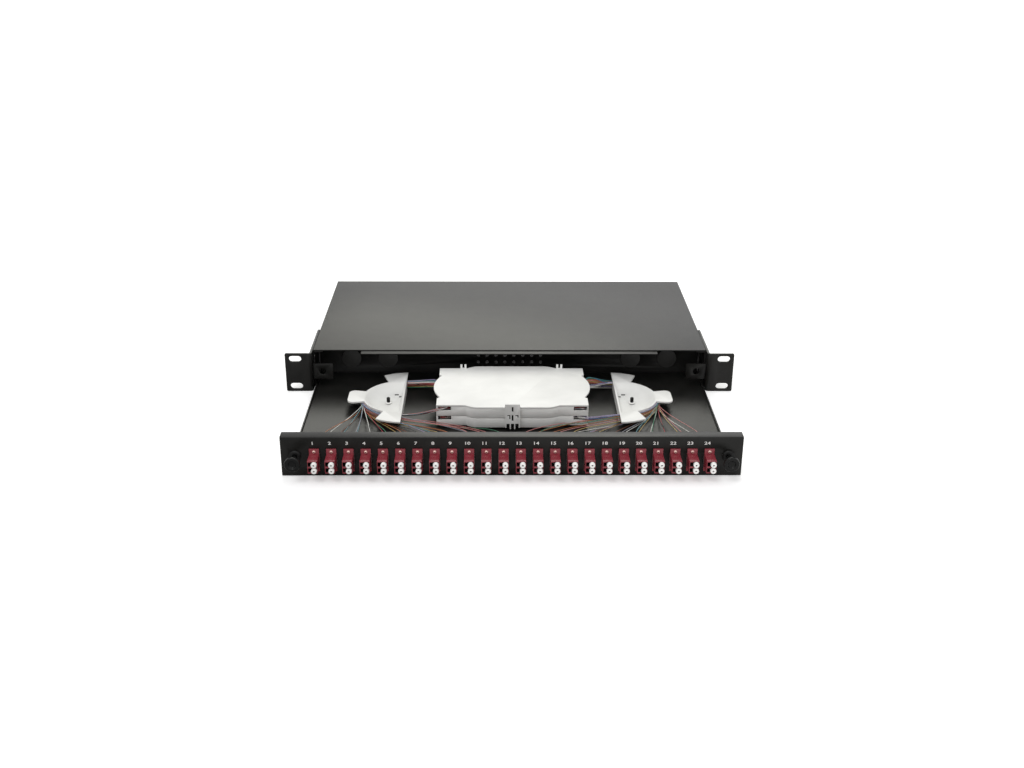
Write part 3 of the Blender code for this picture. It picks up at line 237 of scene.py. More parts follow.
coat = powder_coat("black powder coat", (0.0085, 0.0083, 0.0076), (0.0125, 0.0122, 0.0112), 0.33)
nylon = moulded("black nylon", (0.006, 0.006, 0.006), 0.42, 0.22)
knob_gloss = moulded("glossy black nylon", (0.006, 0.006, 0.006), 0.2, 0.2, grain=0.02)
rubber = moulded("black rubber", (0.036, 0.036, 0.034), 0.6, grain=0.12)
white = moulded("white moulded plastic", (0.80, 0.80, 0.78), 0.45, 0.35)
cap_white = moulded("white dust cap", (0.96, 0.95, 0.93), 0.35)
crimson = moulded("crimson adapter plastic", (0.245, 0.028, 0.041), 0.27, 0.6)
# Painted shade: a mid-grey disc at the bottom of each cap's dimple, standing for the shade in it.
cap_recess_painted_shade = moulded("dust cap recess painted shade", (0.16, 0.15, 0.145), 0.6)
# Painted shade: near-black on the faces cut into the crimson adapter, for the shade inside its bores.
bore_painted_shade = material("adapter bore painted shade", (0.012, 0.003, 0.004), 0.6)
zinc = metal("brassy zinc plate", (0.80, 0.58, 0.52), 0.5)
# Painted shade: the dark cross drawn on each screw head in place of the shade in its recess.
screw_cross_painted_shade = metal("screw recess painted shade", (0.22, 0.12, 0.11), 0.6)
stud_steel = metal("dark steel", (0.16, 0.16, 0.16), 0.35)
ink = material("white print", (0.80, 0.80, 0.78), 0.55)
mottle(ink, noise(ink, scale=900.0), (0.70, 0.70, 0.68), (0.82, 0.82, 0.80))
sleeve = material("splice sleeve", (0.75, 0.76, 0.78), 0.2)
mottle(sleeve, noise(sleeve, scale=300.0), (0.66, 0.68, 0.71), (0.78, 0.79, 0.80))
fibre_coats = [moulded(f"fibre coating {name}", FIBRE_COLOURS[name], 0.35) for name in COLOURS]


# Mesh helpers
def plain_mesh(name, bm, finishes):
    mesh = bpy.data.meshes.new(name)
    bm.to_mesh(mesh)
    bm.free()
    for finish in finishes:
        mesh.materials.append(finish)
    return mesh


def smooth_mesh(name, bm, finishes, sharp_angle):
    """A mesh shaded smooth, except over edges that turn by more than an angle in degrees."""
    bmesh.ops.recalc_face_normals(bm, faces=bm.faces)
    mesh = plain_mesh(name, bm, finishes)
    mesh.shade_smooth()
    mesh.set_sharp_from_angle(angle=math.radians(sharp_angle))
    return mesh


def put(name, mesh, body, place=None):
    obj = new_object(name, mesh)
    if place is not None:
        obj.location = place
    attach(obj, body)
    return obj


def piece(name, bm, finishes, body, sharp_angle=35.0):
    return put(name, smooth_mesh(name, bm, finishes, sharp_angle), body)


def pour(made, bm, slot_index=0):
    """Empties one bmesh into another, with one material slot."""
    for face in made.faces:
        face.material_index = slot_index
    passed = bpy.data.meshes.new("passed")
    made.to_mesh(passed)
    made.free()
    bm.from_mesh(passed)
    bpy.data.meshes.remove(passed)


def add_block(bm, low, high, round_off=0.0, segments=2):
    """A block from one corner to the other, in rack millimetres, with its edges rounded off."""
    low, high = spot(*low), spot(*high)
    made = bmesh.new()
    place = Matrix.Translation((low + high) / 2) @ Matrix.Diagonal((*(high - low), 1.0))
    bmesh.ops.create_cube(made, size=1.0, matrix=place)
    if round_off:
        bmesh.ops.bevel(
            made,
            geom=list(made.edges),
            offset=round_off * MM,
            segments=segments,
            profile=0.5,
            affect="EDGES",
        )
    pour(made, bm)


def add_turned(bm, profile, place, steps, slot_index=0):
    """Turns a (radius, height) profile in millimetres about local z and places it."""
    made = bmesh.new()
    verts = [made.verts.new((radius * MM, 0.0, height * MM)) for radius, height in profile]
    edges = [made.edges.new(pair) for pair in zip(verts, verts[1:])]
    bmesh.ops.spin(
        made,
        geom=verts + edges,
        cent=(0.0, 0.0, 0.0),
        axis=(0.0, 0.0, 1.0),
        angle=2 * math.pi,
        steps=steps,
        use_merge=True,
    )
    bmesh.ops.remove_doubles(made, verts=made.verts, dist=1e-7)
    made.transform(place)
    pour(made, bm, slot_index)


def rounded(profile, radius, steps=3):
    """Rounds the inner corners of an open (radius, height) profile."""
    points = [Vector(point) for point in profile]
    result = [points[0]]
    for before, point, after in zip(points, points[1:], points[2:]):
        back, ahead = before - point, after - point
        reach = min(radius, back.length * 0.45, ahead.length * 0.45)
        start, end = point + back.normalized() * reach, point + ahead.normalized() * reach
        for step in range(steps + 1):
            t = step / steps
            result.append((1 - t) ** 2 * start + 2 * (1 - t) * t * point + t**2 * end)
    result.append(points[-1])
    return [tuple(point) for point in result]


TUBE_SIDES = 6


def skin(bm, rings, slot_index):
    """Faces between each ring of vertices and the next."""
    for ring, following in zip(rings, rings[1:]):
        for step in range(TUBE_SIDES):
            nearby = (step + 1) % TUBE_SIDES
            face = bm.faces.new((ring[step], ring[nearby], following[nearby], following[step]))
            face.material_index = slot_index


def add_tube(bm, points, radius, slot_index):
    rings = []
    for index, point in enumerate(points):
        before = points[max(index - 1, 0)]
        after = points[min(index + 1, len(points) - 1)]
        ahead = (after - before).normalized()
        across = ahead.cross(Vector((0, 0, 1))).normalized()
        rise = across.cross(ahead)
        ring = []
        for step in range(TUBE_SIDES):
            angle = 2 * math.pi * step / TUBE_SIDES
            ring.append(bm.verts.new(point + radius * (math.cos(angle) * across + math.sin(angle) * rise)))
        rings.append(ring)
    skin(bm, rings, slot_index)
    for cap in (rings[0][::-1], rings[-1]):
        bm.faces.new(cap).material_index = slot_index


def bezier(start, leave, arrive, end, steps):
    points = []
    for step in range(steps + 1):
        t = step / steps
        outer = (1 - t) ** 3 * start + 3 * (1 - t) ** 2 * t * leave
        points.append(outer + 3 * (1 - t) * t**2 * arrive + t**3 * end)
    return points


# Carried-over pieces
def dress(name, finish, round_off, segments=2):
    """Gives a carried-over node its finish, and rounds its edges off."""
    obj = nodes[name]
    for place in obj.material_slots:
        place.material = finish
    obj.data.shade_smooth()
    weld = obj.modifiers.new("weld", "WELD")
    weld.merge_threshold = 1e-6
    flatten = obj.modifiers.new("flatten", "DECIMATE")
    flatten.decimate_type = "DISSOLVE"
    flatten.angle_limit = math.radians(1.0)
    bevel = obj.modifiers.new("rounded edges", "BEVEL")
    bevel.width = round_off * MM
    bevel.segments = segments
    bevel.limit_method = "ANGLE"
    bevel.angle_limit = math.radians(40)
    bevel.harden_normals = True


for name in ("chassis_base", "top_cover", "ear_left", "ear_right", "drawer_tray", "front_panel"):
    dress(name, coat, 0.3)
for name in ("splice_tray_lower", "splice_tray_upper", "splice_tray_lid", "hinge_ladder"):
    dress(name, white, 0.3)
for name in ("tray_clip_left", "tray_clip_right", "tray_mount"):
    dress(name, white, 0.25)
for name in ("splice_holder_lower", "splice_holder_upper"):
    dress(name, white, 0.25)
for number in range(1, 5):
    dress(f"cable_plug_{number}", rubber, 0.4)
for side, name in SIDES:
    dress(f"fibre_guide_{name}", white, 0.5, segments=3)
    dress(f"latch_grommet_{name}", nylon, 0.2)


# Adapters, drawn at x = 0
def adapter_shell():
    """Body, flange and ridge, with the open half of each bore and the dimple behind each cap cut out. The cut
    faces take a near-black painted shade.
    """
    solid = bmesh.new()
    for half_width, front, back, half_height, round_off in (
        (4.65, ADAPTER_FRONT, FACE + 13.0, 6.45, 0.3),
        (4.75, FLANGE_FRONT, FACE - 0.3, 11.7, 0.35),
        (4.75, ADAPTER_FRONT + 3.4, ADAPTER_FRONT + 4.6, 6.6, 0.2),
    ):
        low = (-half_width, front, PORT_Z - half_height)
        high = (half_width, back, PORT_Z + half_height)
        add_block(solid, low, high, round_off)
    target = new_object("adapter_solid", plain_mesh("adapter_solid", solid, [crimson, bore_painted_shade]))
    helpers = [target]
    for rise in (-1, 1):
        z = PORT_Z + rise * BORE_RISE
        for left, right, half_height, depth in ((-4.1, -0.9, 2.15, 7.0), (-1.3, 4.25, 2.6, 1.2)):
            cut = bmesh.new()
            low = (left, ADAPTER_FRONT - 1.0, z - half_height)
            high = (right, ADAPTER_FRONT + depth, z + half_height)
            add_block(cut, low, high)
            cutter = new_object("adapter_cutter", plain_mesh("adapter_cutter", cut, [bore_painted_shade]))
            helpers.append(cutter)
            modifier = target.modifiers.new("cut", "BOOLEAN")
            modifier.operation = "DIFFERENCE"
            modifier.solver = "EXACT"
            # The cut faces keep the cutters' near-black finish: painted shade inside the bores.
            modifier.material_mode = "TRANSFER"
            modifier.object = cutter
    graph = bpy.context.evaluated_depsgraph_get()
    mesh = bpy.data.meshes.new_from_object(target.evaluated_get(graph))
    mesh.name = "adapter_shell"
    mesh.shade_smooth()
    mesh.set_sharp_from_angle(angle=math.radians(30))
    for helper in helpers:
        bpy.data.objects.remove(helper)
    return mesh


def adapter_caps():
    """Two round dust caps, each with a dark disc of painted shade at the bottom of its recess."""
    bm = bmesh.new()
    profile = [(0.85, 1.6), (0.9, 0.0), (2.1, 0.0), (2.7, 0.6), (2.7, 3.2), (2.4, 4.1), (0.0, 4.1)]
    for rise in (-1, 1):
        place = Matrix.Translation(spot(1.6, ADAPTER_FRONT - 3.2, PORT_Z + rise * BORE_RISE)) @ ALONG_Y
        add_turned(bm, rounded(profile, 0.35), place, 28)
        # The grey disc in the recess is painted shade.
        add_turned(bm, [(0.0, 1.2), (0.88, 1.2)], place, 20, slot_index=1)
    return smooth_mesh("adapter_caps", bm, [cap_white, cap_recess_painted_shade], 40)


def adapter_screws():
    """Two screw heads, each with a flat dark cross of painted shade for the recess of its drive."""
    bm = bmesh.new()
    head = [(0.0, -0.8), (0.4, -0.8), (0.45, -1.1), (1.0, -1.05), (1.5, -0.65), (1.65, 0.0), (0.0, 0.0)]
    bar = Matrix.Translation((0.0, 0.0, -1.09 * MM)) @ Matrix.Diagonal((1.8 * MM, 0.32 * MM, 0.06 * MM, 1.0))
    for rise in (-1, 1):
        place = Matrix.Translation(spot(0.0, FLANGE_FRONT, PORT_Z + rise * 8.8)) @ ALONG_Y
        add_turned(bm, rounded(head, 0.15), place, 24)
        cross = Matrix.Rotation(0.5 + rise * 0.3, 4, "Z")
        # Flat dark bars: painted shade for the screw's cross recess.
        for turn in (0.0, math.pi / 2):
            stroke = bmesh.new()
            turned = place @ cross @ Matrix.Rotation(turn, 4, "Z") @ bar
            bmesh.ops.create_cube(stroke, size=1.0, matrix=turned)
            pour(stroke, bm, 1)
    return smooth_mesh("adapter_screws", bm, [zinc, screw_cross_painted_shade], 40)


shell_mesh = adapter_shell()
caps_mesh = adapter_caps()
screws_mesh = adapter_screws()
for index in range(PORTS):
    number = f"{index + 1:02d}"
    across = port_shift(index)
    shell = put(f"adapter_shell_{number}", shell_mesh, "drawer", across)
    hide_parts(f"adapter_{number}")
    put(f"adapter_caps_{number}", caps_mesh, "drawer", across)
    put(f"adapter_screws_{number}", screws_mesh, "drawer", across)


# Printed numbers: they stand a little to the left of their ports, at a slightly smaller pitch
NUMBER_SIZE = 4.3
NUMBER_STRETCH = 1.36
NUMBER_SHIFT = -1.85
NUMBER_SPREAD = 0.9975
NUMBER_Z = 34.3


def print_number(number, x):
    curve = bpy.data.curves.new("number", "FONT")
    curve.body = str(number)
    curve.align_x = "CENTER"
    curve.align_y = "CENTER"
    curve.size = NUMBER_SIZE * MM
    curve.space_character = 1.04
    curve.offset = 0.00009
    curve.extrude = 0.00002
    holder = new_object("number", curve)
    graph = bpy.context.evaluated_depsgraph_get()
    mesh = bpy.data.meshes.new_from_object(holder.evaluated_get(graph))
    bpy.data.objects.remove(holder)
    mesh.transform(Matrix.Diagonal((NUMBER_STRETCH, 1.0, 1.0, 1.0)))
    mesh.transform(Matrix.Rotation(math.pi / 2, 4, "X"))
    mesh.transform(Matrix.Translation(spot(x, FACE - 0.04, NUMBER_Z)))
    mesh.materials.clear()
    mesh.materials.append(ink)
    put(f"printed_number_{number:02d}", mesh, "drawer")


for index in range(PORTS):
    print_number(index + 1, port_x(index) * NUMBER_SPREAD + NUMBER_SHIFT)


# Latch knobs, ear screws and guide studs
def make_knob(side, name):
    front = KNOB_FRONT
    profile = [
        (0.0, front + 1.7),
        (3.1, front + 1.7),
        (3.9, front + 0.3),
        (5.2, front),
        (7.0, front + 0.3),
        (7.4, front + 1.2),
        (7.4, front + 3.4),
        (4.8, front + 4.4),
        (3.2, FACE - 8.2),
        (1.8, FACE - 8.2),
        (1.8, FACE + 10.0),
        (0.0, FACE + 10.0),
    ]
    bm = bmesh.new()
    place = Matrix.Translation(spot(side * KNOB_X, 0.0, KNOB_Z)) @ ALONG_Y
    add_turned(bm, rounded(profile, 0.7, 4), place, 56)
    knob = piece(f"latch_plunger_{name}", bm, [knob_gloss], f"knob_{name}", 45.0)
    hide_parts(f"latch_knob_{name}")


def make_ear_screw(side, name, number, y):
    """A screw through the side of the case. Its profile runs outwards from the middle of the rack."""
    start = 213.5
    head = 217.5
    profile = [
        (0.0, start),
        (1.7, start),
        (1.7, head),
        (3.5, head),
        (3.5, head + 0.7),
        (2.9, head + 1.7),
        (1.4, head + 2.2),
        (1.2, head + 1.2),
        (0.0, head + 1.2),
    ]
    bm = bmesh.new()
    turn = ALONG_X if side > 0 else AGAINST_X
    add_turned(bm, rounded(profile, 0.25), Matrix.Translation(spot(0.0, y, 22.0)) @ turn, 28)
    screw = piece(f"ear_fixing_{name}_{number}", bm, [stud_steel], "chassis")
    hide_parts(f"ear_screw_{name}_{number}")


def make_stud(side, name):
    """A black threaded stud with a white nut, on which a fibre guide is held. The thin black washer under the
    nut is painted shade for the shadow at the nut's lower edge.
    """
    nut_low, nut_high = 6.2, 7.2
    # The washer from 5.7 mm up to the nut is painted shade under the nut's edge.
    profile = [(0.0, 3.0), (1.8, 3.0), (1.8, 5.7), (2.9, 5.7), (2.9, nut_low)]
    profile += [(3.2, nut_low), (3.2, 7.0), (2.9, nut_high), (1.8, nut_high)]
    z = nut_high
    while z < 11.8:
        profile += [(1.6, z + 0.2), (1.85, z + 0.4)]
        z += 0.4
    profile += [(1.5, 12.4), (0.0, 12.4)]
    bm = bmesh.new()
    add_turned(bm, profile, Matrix.Translation(spot(side * STUD_X, DRUM_Y, 0.0)), 28)
    # Black everywhere but the nut: the stud's own colour, and painted shade on the washer under the nut.
    for face in bm.faces:
        height = face.calc_center_median().z / MM
        if not nut_low - 0.01 < height < nut_high + 0.01:
            face.material_index = 1
    stud = piece(f"threaded_stud_{name}", bm, [cap_white, nylon], "drawer")
    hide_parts(f"guide_stud_{name}")


def make_lock_tabs(side, name):
    """Black blocks of painted shade that stand in the two slots of a guide to darken them."""
    bm = bmesh.new()
    # Painted shade: dark blocks reaching up into the tie slots.
    for x, y in ((10.0, 22.6), (4.9, 17.4)):
        x = side * (GUIDE_X + x)
        y += DRUM_Y
        add_block(bm, (x - 2.1, y - 1.4, 3.0), (x + 2.1, y + 1.4, 5.38), 0.1)
    piece(f"guide_slot_painted_shade_{name}", bm, [nylon], "drawer")


def make_ladder_pads():
    """Black blocks of painted shade, set in the slots of the hinge ladder and between its legs to darken
    them.
    """
    front = -107.55
    back = front + 0.35
    gap = 0.03
    bm = bmesh.new()
    # Painted shade: dark blocks just behind the ladder's front, where the slots would only be in shade.
    for low, high in ((15.2, 21.7), (25.4, 30.5)):
        add_block(bm, (0.68, front, low + gap), (2.32, back, high - gap))
    for left, right, low, bar in ((-3.7, -0.7, 17.0, -1.8), (4.3, 7.5, 18.8, 6.4)):
        add_block(bm, (left + gap, front, 20.53), (right - gap, back, 21.57))
        add_block(bm, (bar + gap, front, low + gap), (right - gap, back, 20.55))
    add_block(bm, (-4.5, -103.9, 6.1), (7.5, -103.4, 11.97))
    piece("ladder_slot_painted_shade", bm, [nylon], "drawer")


def make_rivet():
    bm = bmesh.new()
    profile = [(0.0, 0.0), (1.5, 0.0), (1.3, 0.5), (0.7, 0.7), (0.0, 0.75)]
    add_turned(bm, rounded(profile, 0.2), Matrix.Translation(spot(-213.1, 11.5, 37.0)) @ ALONG_X, 20)
    piece("case_rivet_left", bm, [stud_steel], "chassis")


make_ladder_pads()
make_rivet()
for side, name in SIDES:
    make_knob(side, name)
    make_stud(side, name)
    make_lock_tabs(side, name)
    for number, y in enumerate((24.0, 58.0), 1):
        make_ear_screw(side, name, number, y)


# Connectors behind the ports
def connector_mesh():
    """Two plugs with a common clip and two boots, at x = 0."""
    bm = bmesh.new()
    boot = [(0.0, 0.0), (1.7, 0.0), (1.55, 5.0), (1.35, 6.0), (1.45, 6.6), (1.0, 15.5), (0.6, 16.0)]
    boot.append((0.0, 16.0))
    boot_front = PLUG_FRONT + PLUG_LENGTH
    for rise in (-1, 1):
        z = PORT_Z + rise * BORE_RISE
        add_block(bm, (-2.25, PLUG_FRONT, z - 2.25), (2.25, boot_front, z + 2.25), 0.25)
        add_turned(bm, boot, Matrix.Translation(spot(0.0, boot_front, z)) @ ALONG_Y, 14, slot_index=1)
    add_block(bm, (-2.45, PLUG_FRONT + 5.5, PORT_Z - 5.5), (2.45, PLUG_FRONT + 8.5, PORT_Z + 5.5), 0.25)
    return smooth_mesh("connector_pair", bm, [crimson, cap_white], 35)


connectors = connector_mesh()
for index in range(PORTS):
    put(f"connector_pair_{index + 1:02d}", connectors, "drawer", port_shift(index))


# Fibres. Angles round a drum are in degrees: 0 is outwards, 90 to the rear and -90 to the front.
WRAP_START = 95.0
WRAP_END = -92.0
FIBRE_RADIUS = 0.34

# Where the fibres of a port meet the drum, from the outermost port inwards
ROOTS = (-19.0, -21.0, -23.0, -25.0, -28.0, -33.0, -39.0, -46.0, -54.0, -64.0, -75.0, -86.0)

# The lower and the upper fibre of each port, from the outermost port inwards
PORT_COLOURS = {
    -1: (
        "white orange", "aqua brown", "aqua slate", "white black", "red green", "yellow orange",
        "brown black", "violet aqua", "yellow orange", "brown rose", "slate rose", "rose green",
    ),
    1: (
        "white rose", "yellow rose", "red black", "white green", "yellow aqua", "white slate",
        "brown black", "yellow brown", "violet yellow", "white rose", "orange green", "orange rose",
    ),
}

# The fibres that pass the whole guide without a port
THROUGH_COLOURS = {
    -1: ("rose", "white", "aqua", "white", "red", "black"),
    1: ("violet", "white", "violet", "white", "blue", "black"),
}

# The order of the colours in the band behind each guide, from the top down
LEAD_COLOURS = {
    -1: "violet slate aqua white rose red brown orange yellow green blue black".split(),
    1: "aqua blue green orange rose yellow red brown slate black violet white".split(),
}

# The band behind each guide: the height of its lowest fibre, and how much higher its top one is
BAND_LOW = 11.0
BAND_RISE = {-1: 10.0, 1: 12.5}

# The lowest fibre's height at a front entry, and its sag: upper tray on the left, lower tray on the right
FRONT_ENTRY = {-1: (22.6, -2.0), 1: (12.2, 0.6)}

# Fibres stay below this height under a guide's horns and arm
HORN_CLEARANCE_Z = 11.8


def share(value, start, end):
    """How far a value has come from start to end, from 0 to 1."""
    return min(max((value - start) / (end - start), 0.0), 1.0)


def wrap_point(side, degrees, lane):
    """A point beside the drum. The bundle is tight at the arm and loose behind the guide."""
    out, z = lane
    ease = share(degrees, -10.0, 70.0)
    z -= out * 0.36 * ease * share(degrees, WRAP_START, 77.0)
    radius = DRUM_RADIUS + 0.5 + out * (0.32 + 0.68 * ease * ease * (3.0 - 2.0 * ease))
    angle = math.radians(degrees)
    return spot(side * (DRUM_X + radius * math.cos(angle)), DRUM_Y + radius * math.sin(angle), z)


def wrap(side, first, last, lane):
    steps = max(int(abs(last - first) / 7.0), 2)
    return [wrap_point(side, first + (last - first) * step / steps, lane) for step in range(steps + 1)]


def back_lead(side, lane, rank, chance):
    """From the wrap behind the guide, in a flat band, to the lower tray's rear corner."""
    begin = wrap_point(side, WRAP_START, lane)
    height = BAND_LOW + BAND_RISE[side] * rank
    bend = spot(STACK_X + side * 83.0, -16.0 + chance.uniform(-1.0, 1.0), height)
    entry = spot(STACK_X + side * (71.2 + chance.uniform(0.0, 3.0)), -21.5, 12.2 + 2.6 * rank)
    level = Vector((-side * 10.0, chance.uniform(-1.0, 1.0), 0.0)) * MM
    band = bezier(begin, begin + level, bend - level * 0.8, bend, 8)
    dive = bezier(bend, bend + level * 0.35, entry + Vector((side * 2.5, -5.0, 1.0)) * MM, entry, 6)
    return band[1:] + dive[1:]


def front_lead(side, lane, chance):
    """From the wrap in front of the guide to a tray's front corner."""
    begin = wrap_point(side, WRAP_END, lane)
    entry_z, sag = FRONT_ENTRY[side]
    entry_x = STACK_X + side * (66.0 + chance.uniform(0.0, 6.0))
    entry = spot(entry_x, -96.4, entry_z + chance.uniform(0.0, 2.6))
    leave = begin + Vector((-side * 15.0, -4.0, chance.uniform(0.0, 2.0))) * MM
    arrive = entry + Vector((side * 12.0, -5.5, sag)) * MM
    return bezier(begin, leave, arrive, entry, 12)[1:]


def fan(side, index, half, root_angle, lane, chance):
    """From one connector boot behind the panel to the place where the fibre meets the drum."""
    root = wrap_point(side, root_angle, lane)
    tip = spot(port_x(index), FIBRE_TIP, PORT_Z + (2 * half - 1) * BORE_RISE)
    angle = math.radians(root_angle)
    tangent = Vector((side * math.sin(angle), -math.cos(angle), 0.0))
    straight = tip - root
    reach = straight.length
    leave = tip + Vector((chance.uniform(-2.0, 2.0) * MM, reach * chance.uniform(0.22, 0.34), -3.0 * MM))
    hug = 0.1 + 0.6 * min((root_angle - ROOTS[0]) / (ROOTS[-1] - ROOTS[0]), 1.0)
    heading = tangent * hug + straight.normalized() * (1.0 - hug)
    arrive = root + heading * reach * chance.uniform(0.28, 0.42)
    arrive.z = root.z + chance.uniform(-1.5, 0.5) * MM
    points = bezier(tip, leave, arrive, root, 22)
    for point in points:
        x, y = abs(point.x) / MM, point.y / MM + MIDDLE_Y
        if y > -59.0 or (x < 139.0 and y > -109.0):
            point.z = min(point.z, HORN_CLEARANCE_Z * MM)
    return points


def low_fan(index, root_angle, lane):
    """The one fibre that passes under the corner of the lower tray on its way to its boot."""
    root = wrap_point(-1, root_angle, lane)
    tip = spot(port_x(index), FIBRE_TIP, PORT_Z + BORE_RISE)
    under = spot(-47.0, -101.0, 4.2)
    leave_tip, reach_under, leave_under, reach_root = (
        Vector(step) * MM
        for step in ((0.0, 22.0, -2.0), (24.0, -3.0, 1.0), (-24.0, 3.0, 0.0), (22.0, -5.0, 0.0))
    )
    first = bezier(tip, tip + leave_tip, under + reach_under, under, 14)
    rest = bezier(under, under + leave_under, root + reach_root, root, 14)
    return first[:-1] + rest


def fibre_paths(side):
    """(colour, points) of each fibre of one side of the drawer."""
    chance = random.Random(7 if side < 0 else 11)
    colours = " ".join(PORT_COLOURS[side]).split() + list(THROUGH_COLOURS[side])
    order_in_band = LEAD_COLOURS[side].index
    count = len(colours)
    stacked = sorted(range(count), key=lambda place: (order_in_band(colours[place]), chance.random()))
    ranks = [1.0 - stacked.index(place) / (count - 1) for place in range(count)]
    ports = len(PORT_COLOURS[side])
    last = 2 * ports - 1
    paths = []
    for order in range(ports):
        index = order if side < 0 else PORTS - 1 - order
        for half in range(2):
            place = 2 * order + half
            lane = (7.6 - 6.2 * place / last, 4.4 + 7.2 * ranks[place])
            root = ROOTS[order] + chance.uniform(-1.2, 1.2)
            if side < 0 and place == last:
                points = low_fan(index, root, lane)[:-1]
            else:
                points = fan(side, index, half, root, lane, chance)[:-1]
            points += wrap(side, root, WRAP_START, lane) + back_lead(side, lane, ranks[place], chance)
            paths.append((colours[place], points))
    for through in range(len(THROUGH_COLOURS[side])):
        place = last + 1 + through
        lane = (0.1 + 0.75 * (through % 3), 11.7 - 0.8 * (through // 3))
        points = back_lead(side, lane, ranks[place], chance)[::-1]
        points += wrap(side, WRAP_START, WRAP_END, lane) + front_lead(side, lane, chance)
        paths.append((colours[place], points))
    return paths


for side, name in SIDES:
    bm = bmesh.new()
    for colour, points in fibre_paths(side):
        add_tube(bm, points, FIBRE_RADIUS * MM, COLOURS.index(colour))
    fibres = piece(f"fibres_{name}", bm, fibre_coats, "drawer", 80.0)
    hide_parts(f"pigtails_{name}")


# Fibre loops and splice sleeves in the trays
LOOP_COLOURS = "brown red slate green orange blue brown violet red black".split()
LOOP_STEPS = 48
LOOP_SQUARENESS = 0.75
LOOP_RADIUS = 0.3
ENTRY_RADIUS = 0.42
ENTRY_COLOURS = {-1: "red brown white red brown black".split(), 1: "slate brown white aqua red black".split()}
SLEEVES = 6
SLEEVE_PITCH = 7.0
SLEEVE_PROFILE = [(0.0, -20.2), (1.3, -20.2), (1.58, -19.8), (1.58, 19.8), (1.3, 20.2), (0.0, 20.2)]


def squared(value):
    return math.copysign(abs(value) ** LOOP_SQUARENESS, value)


def add_loop(bm, half_x, half_y, z, slot_index):
    """A closed loop of fibre in a tray, between an oval and a rectangle."""
    rings = []
    for step in range(LOOP_STEPS):
        angle = 2 * math.pi * step / LOOP_STEPS
        outward = Vector((math.cos(angle), math.sin(angle), 0.0))
        x = STACK_X + half_x * squared(math.cos(angle))
        y = STACK_Y + half_y * squared(math.sin(angle))
        ring = []
        for turn in range(TUBE_SIDES):
            swing = 2 * math.pi * turn / TUBE_SIDES
            shift = outward * math.cos(swing) + Vector((0.0, 0.0, math.sin(swing)))
            ring.append(bm.verts.new(spot(x, y, z) + shift * LOOP_RADIUS * MM))
        rings.append(ring)
    skin(bm, rings + rings[:1], slot_index)


def add_entry(bm, side, under, colour, chance):
    """A short fibre from a tray's front opening to its loops."""
    start_x = STACK_X + side * chance.uniform(70.0, 74.0)
    start = spot(start_x, -95.0 - chance.uniform(0.0, 0.8), under + chance.uniform(6.2, 9.6))
    end_y = -88.0 + chance.uniform(-2.0, 2.0)
    end = spot(STACK_X + side * 50.0, end_y, under + chance.uniform(4.0, 7.0))
    bow = Vector((0.0, chance.uniform(-2.8, -1.8), chance.uniform(0.5, 1.5))) * MM
    middle = (start + end) / 2 + bow
    add_tube(bm, bezier(start, middle, middle, end, 8), ENTRY_RADIUS * MM, COLOURS.index(colour))


def fill_tray(name, body, under, seed):
    """Loops, entries and splice sleeves of the tray whose underside is at a given height."""
    chance = random.Random(seed)
    bm = bmesh.new()
    for colour in LOOP_COLOURS:
        half_x = chance.uniform(52.0, 66.0)
        half_y = chance.uniform(36.0, 40.5)
        z = under + chance.uniform(2.0, 6.2)
        add_loop(bm, half_x, half_y, z, COLOURS.index(colour))
    for side, _ in SIDES:
        for colour in ENTRY_COLOURS[side]:
            add_entry(bm, side, under, colour, chance)
    piece(f"fibre_loops_{name}", bm, fibre_coats, body, 80.0)
    bm = bmesh.new()
    for count in range(SLEEVES):
        y = STACK_Y + (count - (SLEEVES - 1) / 2) * SLEEVE_PITCH
        add_turned(bm, SLEEVE_PROFILE, Matrix.Translation(spot(STACK_X, y, under + 4.1)) @ ALONG_X, 14)
    piece(f"splice_sleeves_{name}", bm, [sleeve], body)


fill_tray("lower", "drawer", LOWER_TRAY_Z, 3)
fill_tray("upper", "upper_tray", UPPER_TRAY_Z, 5)


# Studio. The camera sees the floor in one white. Other rays see it darker on the object's left: painted
# shade, which the object shows in its reflections and bounce light.
FLOOR_WHITE = 0.86
FLOOR_GLOW = 0.36
FLOOR_LEFT = 0.38
FLOOR_RIGHT = 1.0
SHADE_REACH = 0.35
FLOOR_HALF_SIZE = 9.0
FLOOR_Z = -0.0004
WORLD_LIGHT = 0.62
WORLD_SEEN = 1.0

# Name, direction, strength and angular size in degrees
SUNS = (
    ("key_sun", (0.35, 0.55, -1.0), 0.80, 25.0),
    ("front_sun", (0.05, 1.0, -0.35), 0.24, 60.0),
    ("fill_sun", (-0.6, 0.2, -1.0), 0.22, 40.0),
)
SOFT_BOX_PLACE = (0.03, 1.75, 1.5)
SOFT_BOX_SIZE = (1.6, 1.3)
SOFT_BOX_POWER = 18.6
SOFT_BOX_COLOUR = (1.0, 0.995, 0.90)


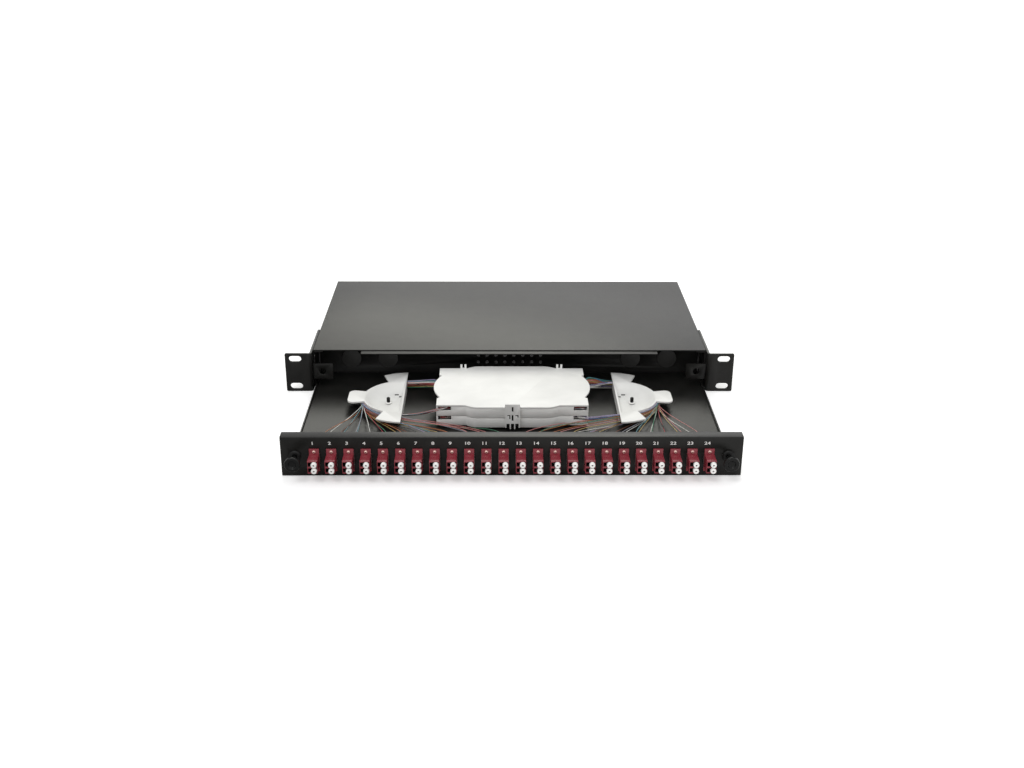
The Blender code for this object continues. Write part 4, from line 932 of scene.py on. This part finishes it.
def floor_finish():
    made = material("studio floor", (FLOOR_WHITE, FLOOR_WHITE, FLOOR_WHITE), 0.9, specular=0.0)
    tree = made.node_tree
    shader = shader_of(made)
    rays = tree.nodes.new("ShaderNodeLightPath")
    coords = tree.nodes.new("ShaderNodeTexCoord")
    parts = tree.nodes.new("ShaderNodeSeparateXYZ")
    # Painted shade: for rays other than the camera's, the floor darkens towards the object's left.
    across = tree.nodes.new("ShaderNodeMapRange")
    across.inputs["From Min"].default_value = -SHADE_REACH
    across.inputs["From Max"].default_value = SHADE_REACH
    across.inputs["To Min"].default_value = FLOOR_LEFT
    across.inputs["To Max"].default_value = FLOOR_RIGHT
    tree.links.new(coords.outputs["Object"], parts.inputs["Vector"])
    tree.links.new(parts.outputs["X"], across.inputs["Value"])
    shade = tree.nodes.new("ShaderNodeMix")
    shade.data_type = "FLOAT"
    shade.inputs["B"].default_value = FLOOR_WHITE
    tree.links.new(rays.outputs["Is Camera Ray"], shade.inputs["Factor"])
    tree.links.new(across.outputs["Result"], shade.inputs["A"])
    tree.links.new(shade.outputs["Result"], shader.inputs["Base Color"])
    glow = tree.nodes.new("ShaderNodeMapRange")
    glow.inputs["To Max"].default_value = FLOOR_GLOW
    tree.links.new(rays.outputs["Is Camera Ray"], glow.inputs["Value"])
    tree.links.new(glow.outputs["Result"], shader.inputs["Emission Strength"])
    shader.inputs["Emission Color"].default_value = (1.0, 1.0, 1.0, 1.0)
    return made


def make_floor():
    mesh = bpy.data.meshes.new("studio_floor")
    half = FLOOR_HALF_SIZE
    corners = [(-half, -half, 0.0), (half, -half, 0.0), (half, half, 0.0), (-half, half, 0.0)]
    mesh.from_pydata(corners, [], [(0, 1, 2, 3)])
    mesh.materials.append(floor_finish())
    floor = new_object("studio_floor", mesh)
    floor.location.z = FLOOR_Z


def make_world():
    """A white world that is brighter to the camera and in reflections than as a light."""
    world = bpy.data.worlds.new("studio")
    bpy.context.scene.world = world
    world.use_nodes = True
    tree = world.node_tree
    background = tree.nodes["Background"]
    background.inputs["Color"].default_value = (1.0, 1.0, 1.0, 1.0)
    rays = tree.nodes.new("ShaderNodeLightPath")
    seen = rays.outputs["Is Camera Ray"]
    for kind in ("Is Glossy Ray", "Is Transmission Ray"):
        either = tree.nodes.new("ShaderNodeMath")
        either.operation = "MAXIMUM"
        tree.links.new(seen, either.inputs[0])
        tree.links.new(rays.outputs[kind], either.inputs[1])
        seen = either.outputs[0]
    strength = tree.nodes.new("ShaderNodeMapRange")
    strength.inputs["To Min"].default_value = WORLD_LIGHT
    strength.inputs["To Max"].default_value = WORLD_SEEN
    tree.links.new(seen, strength.inputs["Value"])
    tree.links.new(strength.outputs["Result"], background.inputs["Strength"])


def aim(lamp, direction):
    lamp.rotation_mode = "QUATERNION"
    lamp.rotation_quaternion = Vector(direction).to_track_quat("-Z", "Y")


def make_lights():
    for name, direction, power, angular_size in SUNS:
        data = bpy.data.lights.new(name, "SUN")
        data.energy = power
        data.angle = math.radians(angular_size)
        aim(new_object(name, data), direction)
    data = bpy.data.lights.new("rear_soft_box", "AREA")
    data.shape = "RECTANGLE"
    data.size, data.size_y = SOFT_BOX_SIZE
    data.energy = SOFT_BOX_POWER
    data.color = SOFT_BOX_COLOUR
    box = new_object("rear_soft_box", data)
    box.location = SOFT_BOX_PLACE
    box.visible_camera = False
    aim(box, -box.location)


place_camera()
make_floor()
make_world()
make_lights()
bpy.context.scene.view_settings.view_transform = "Standard"
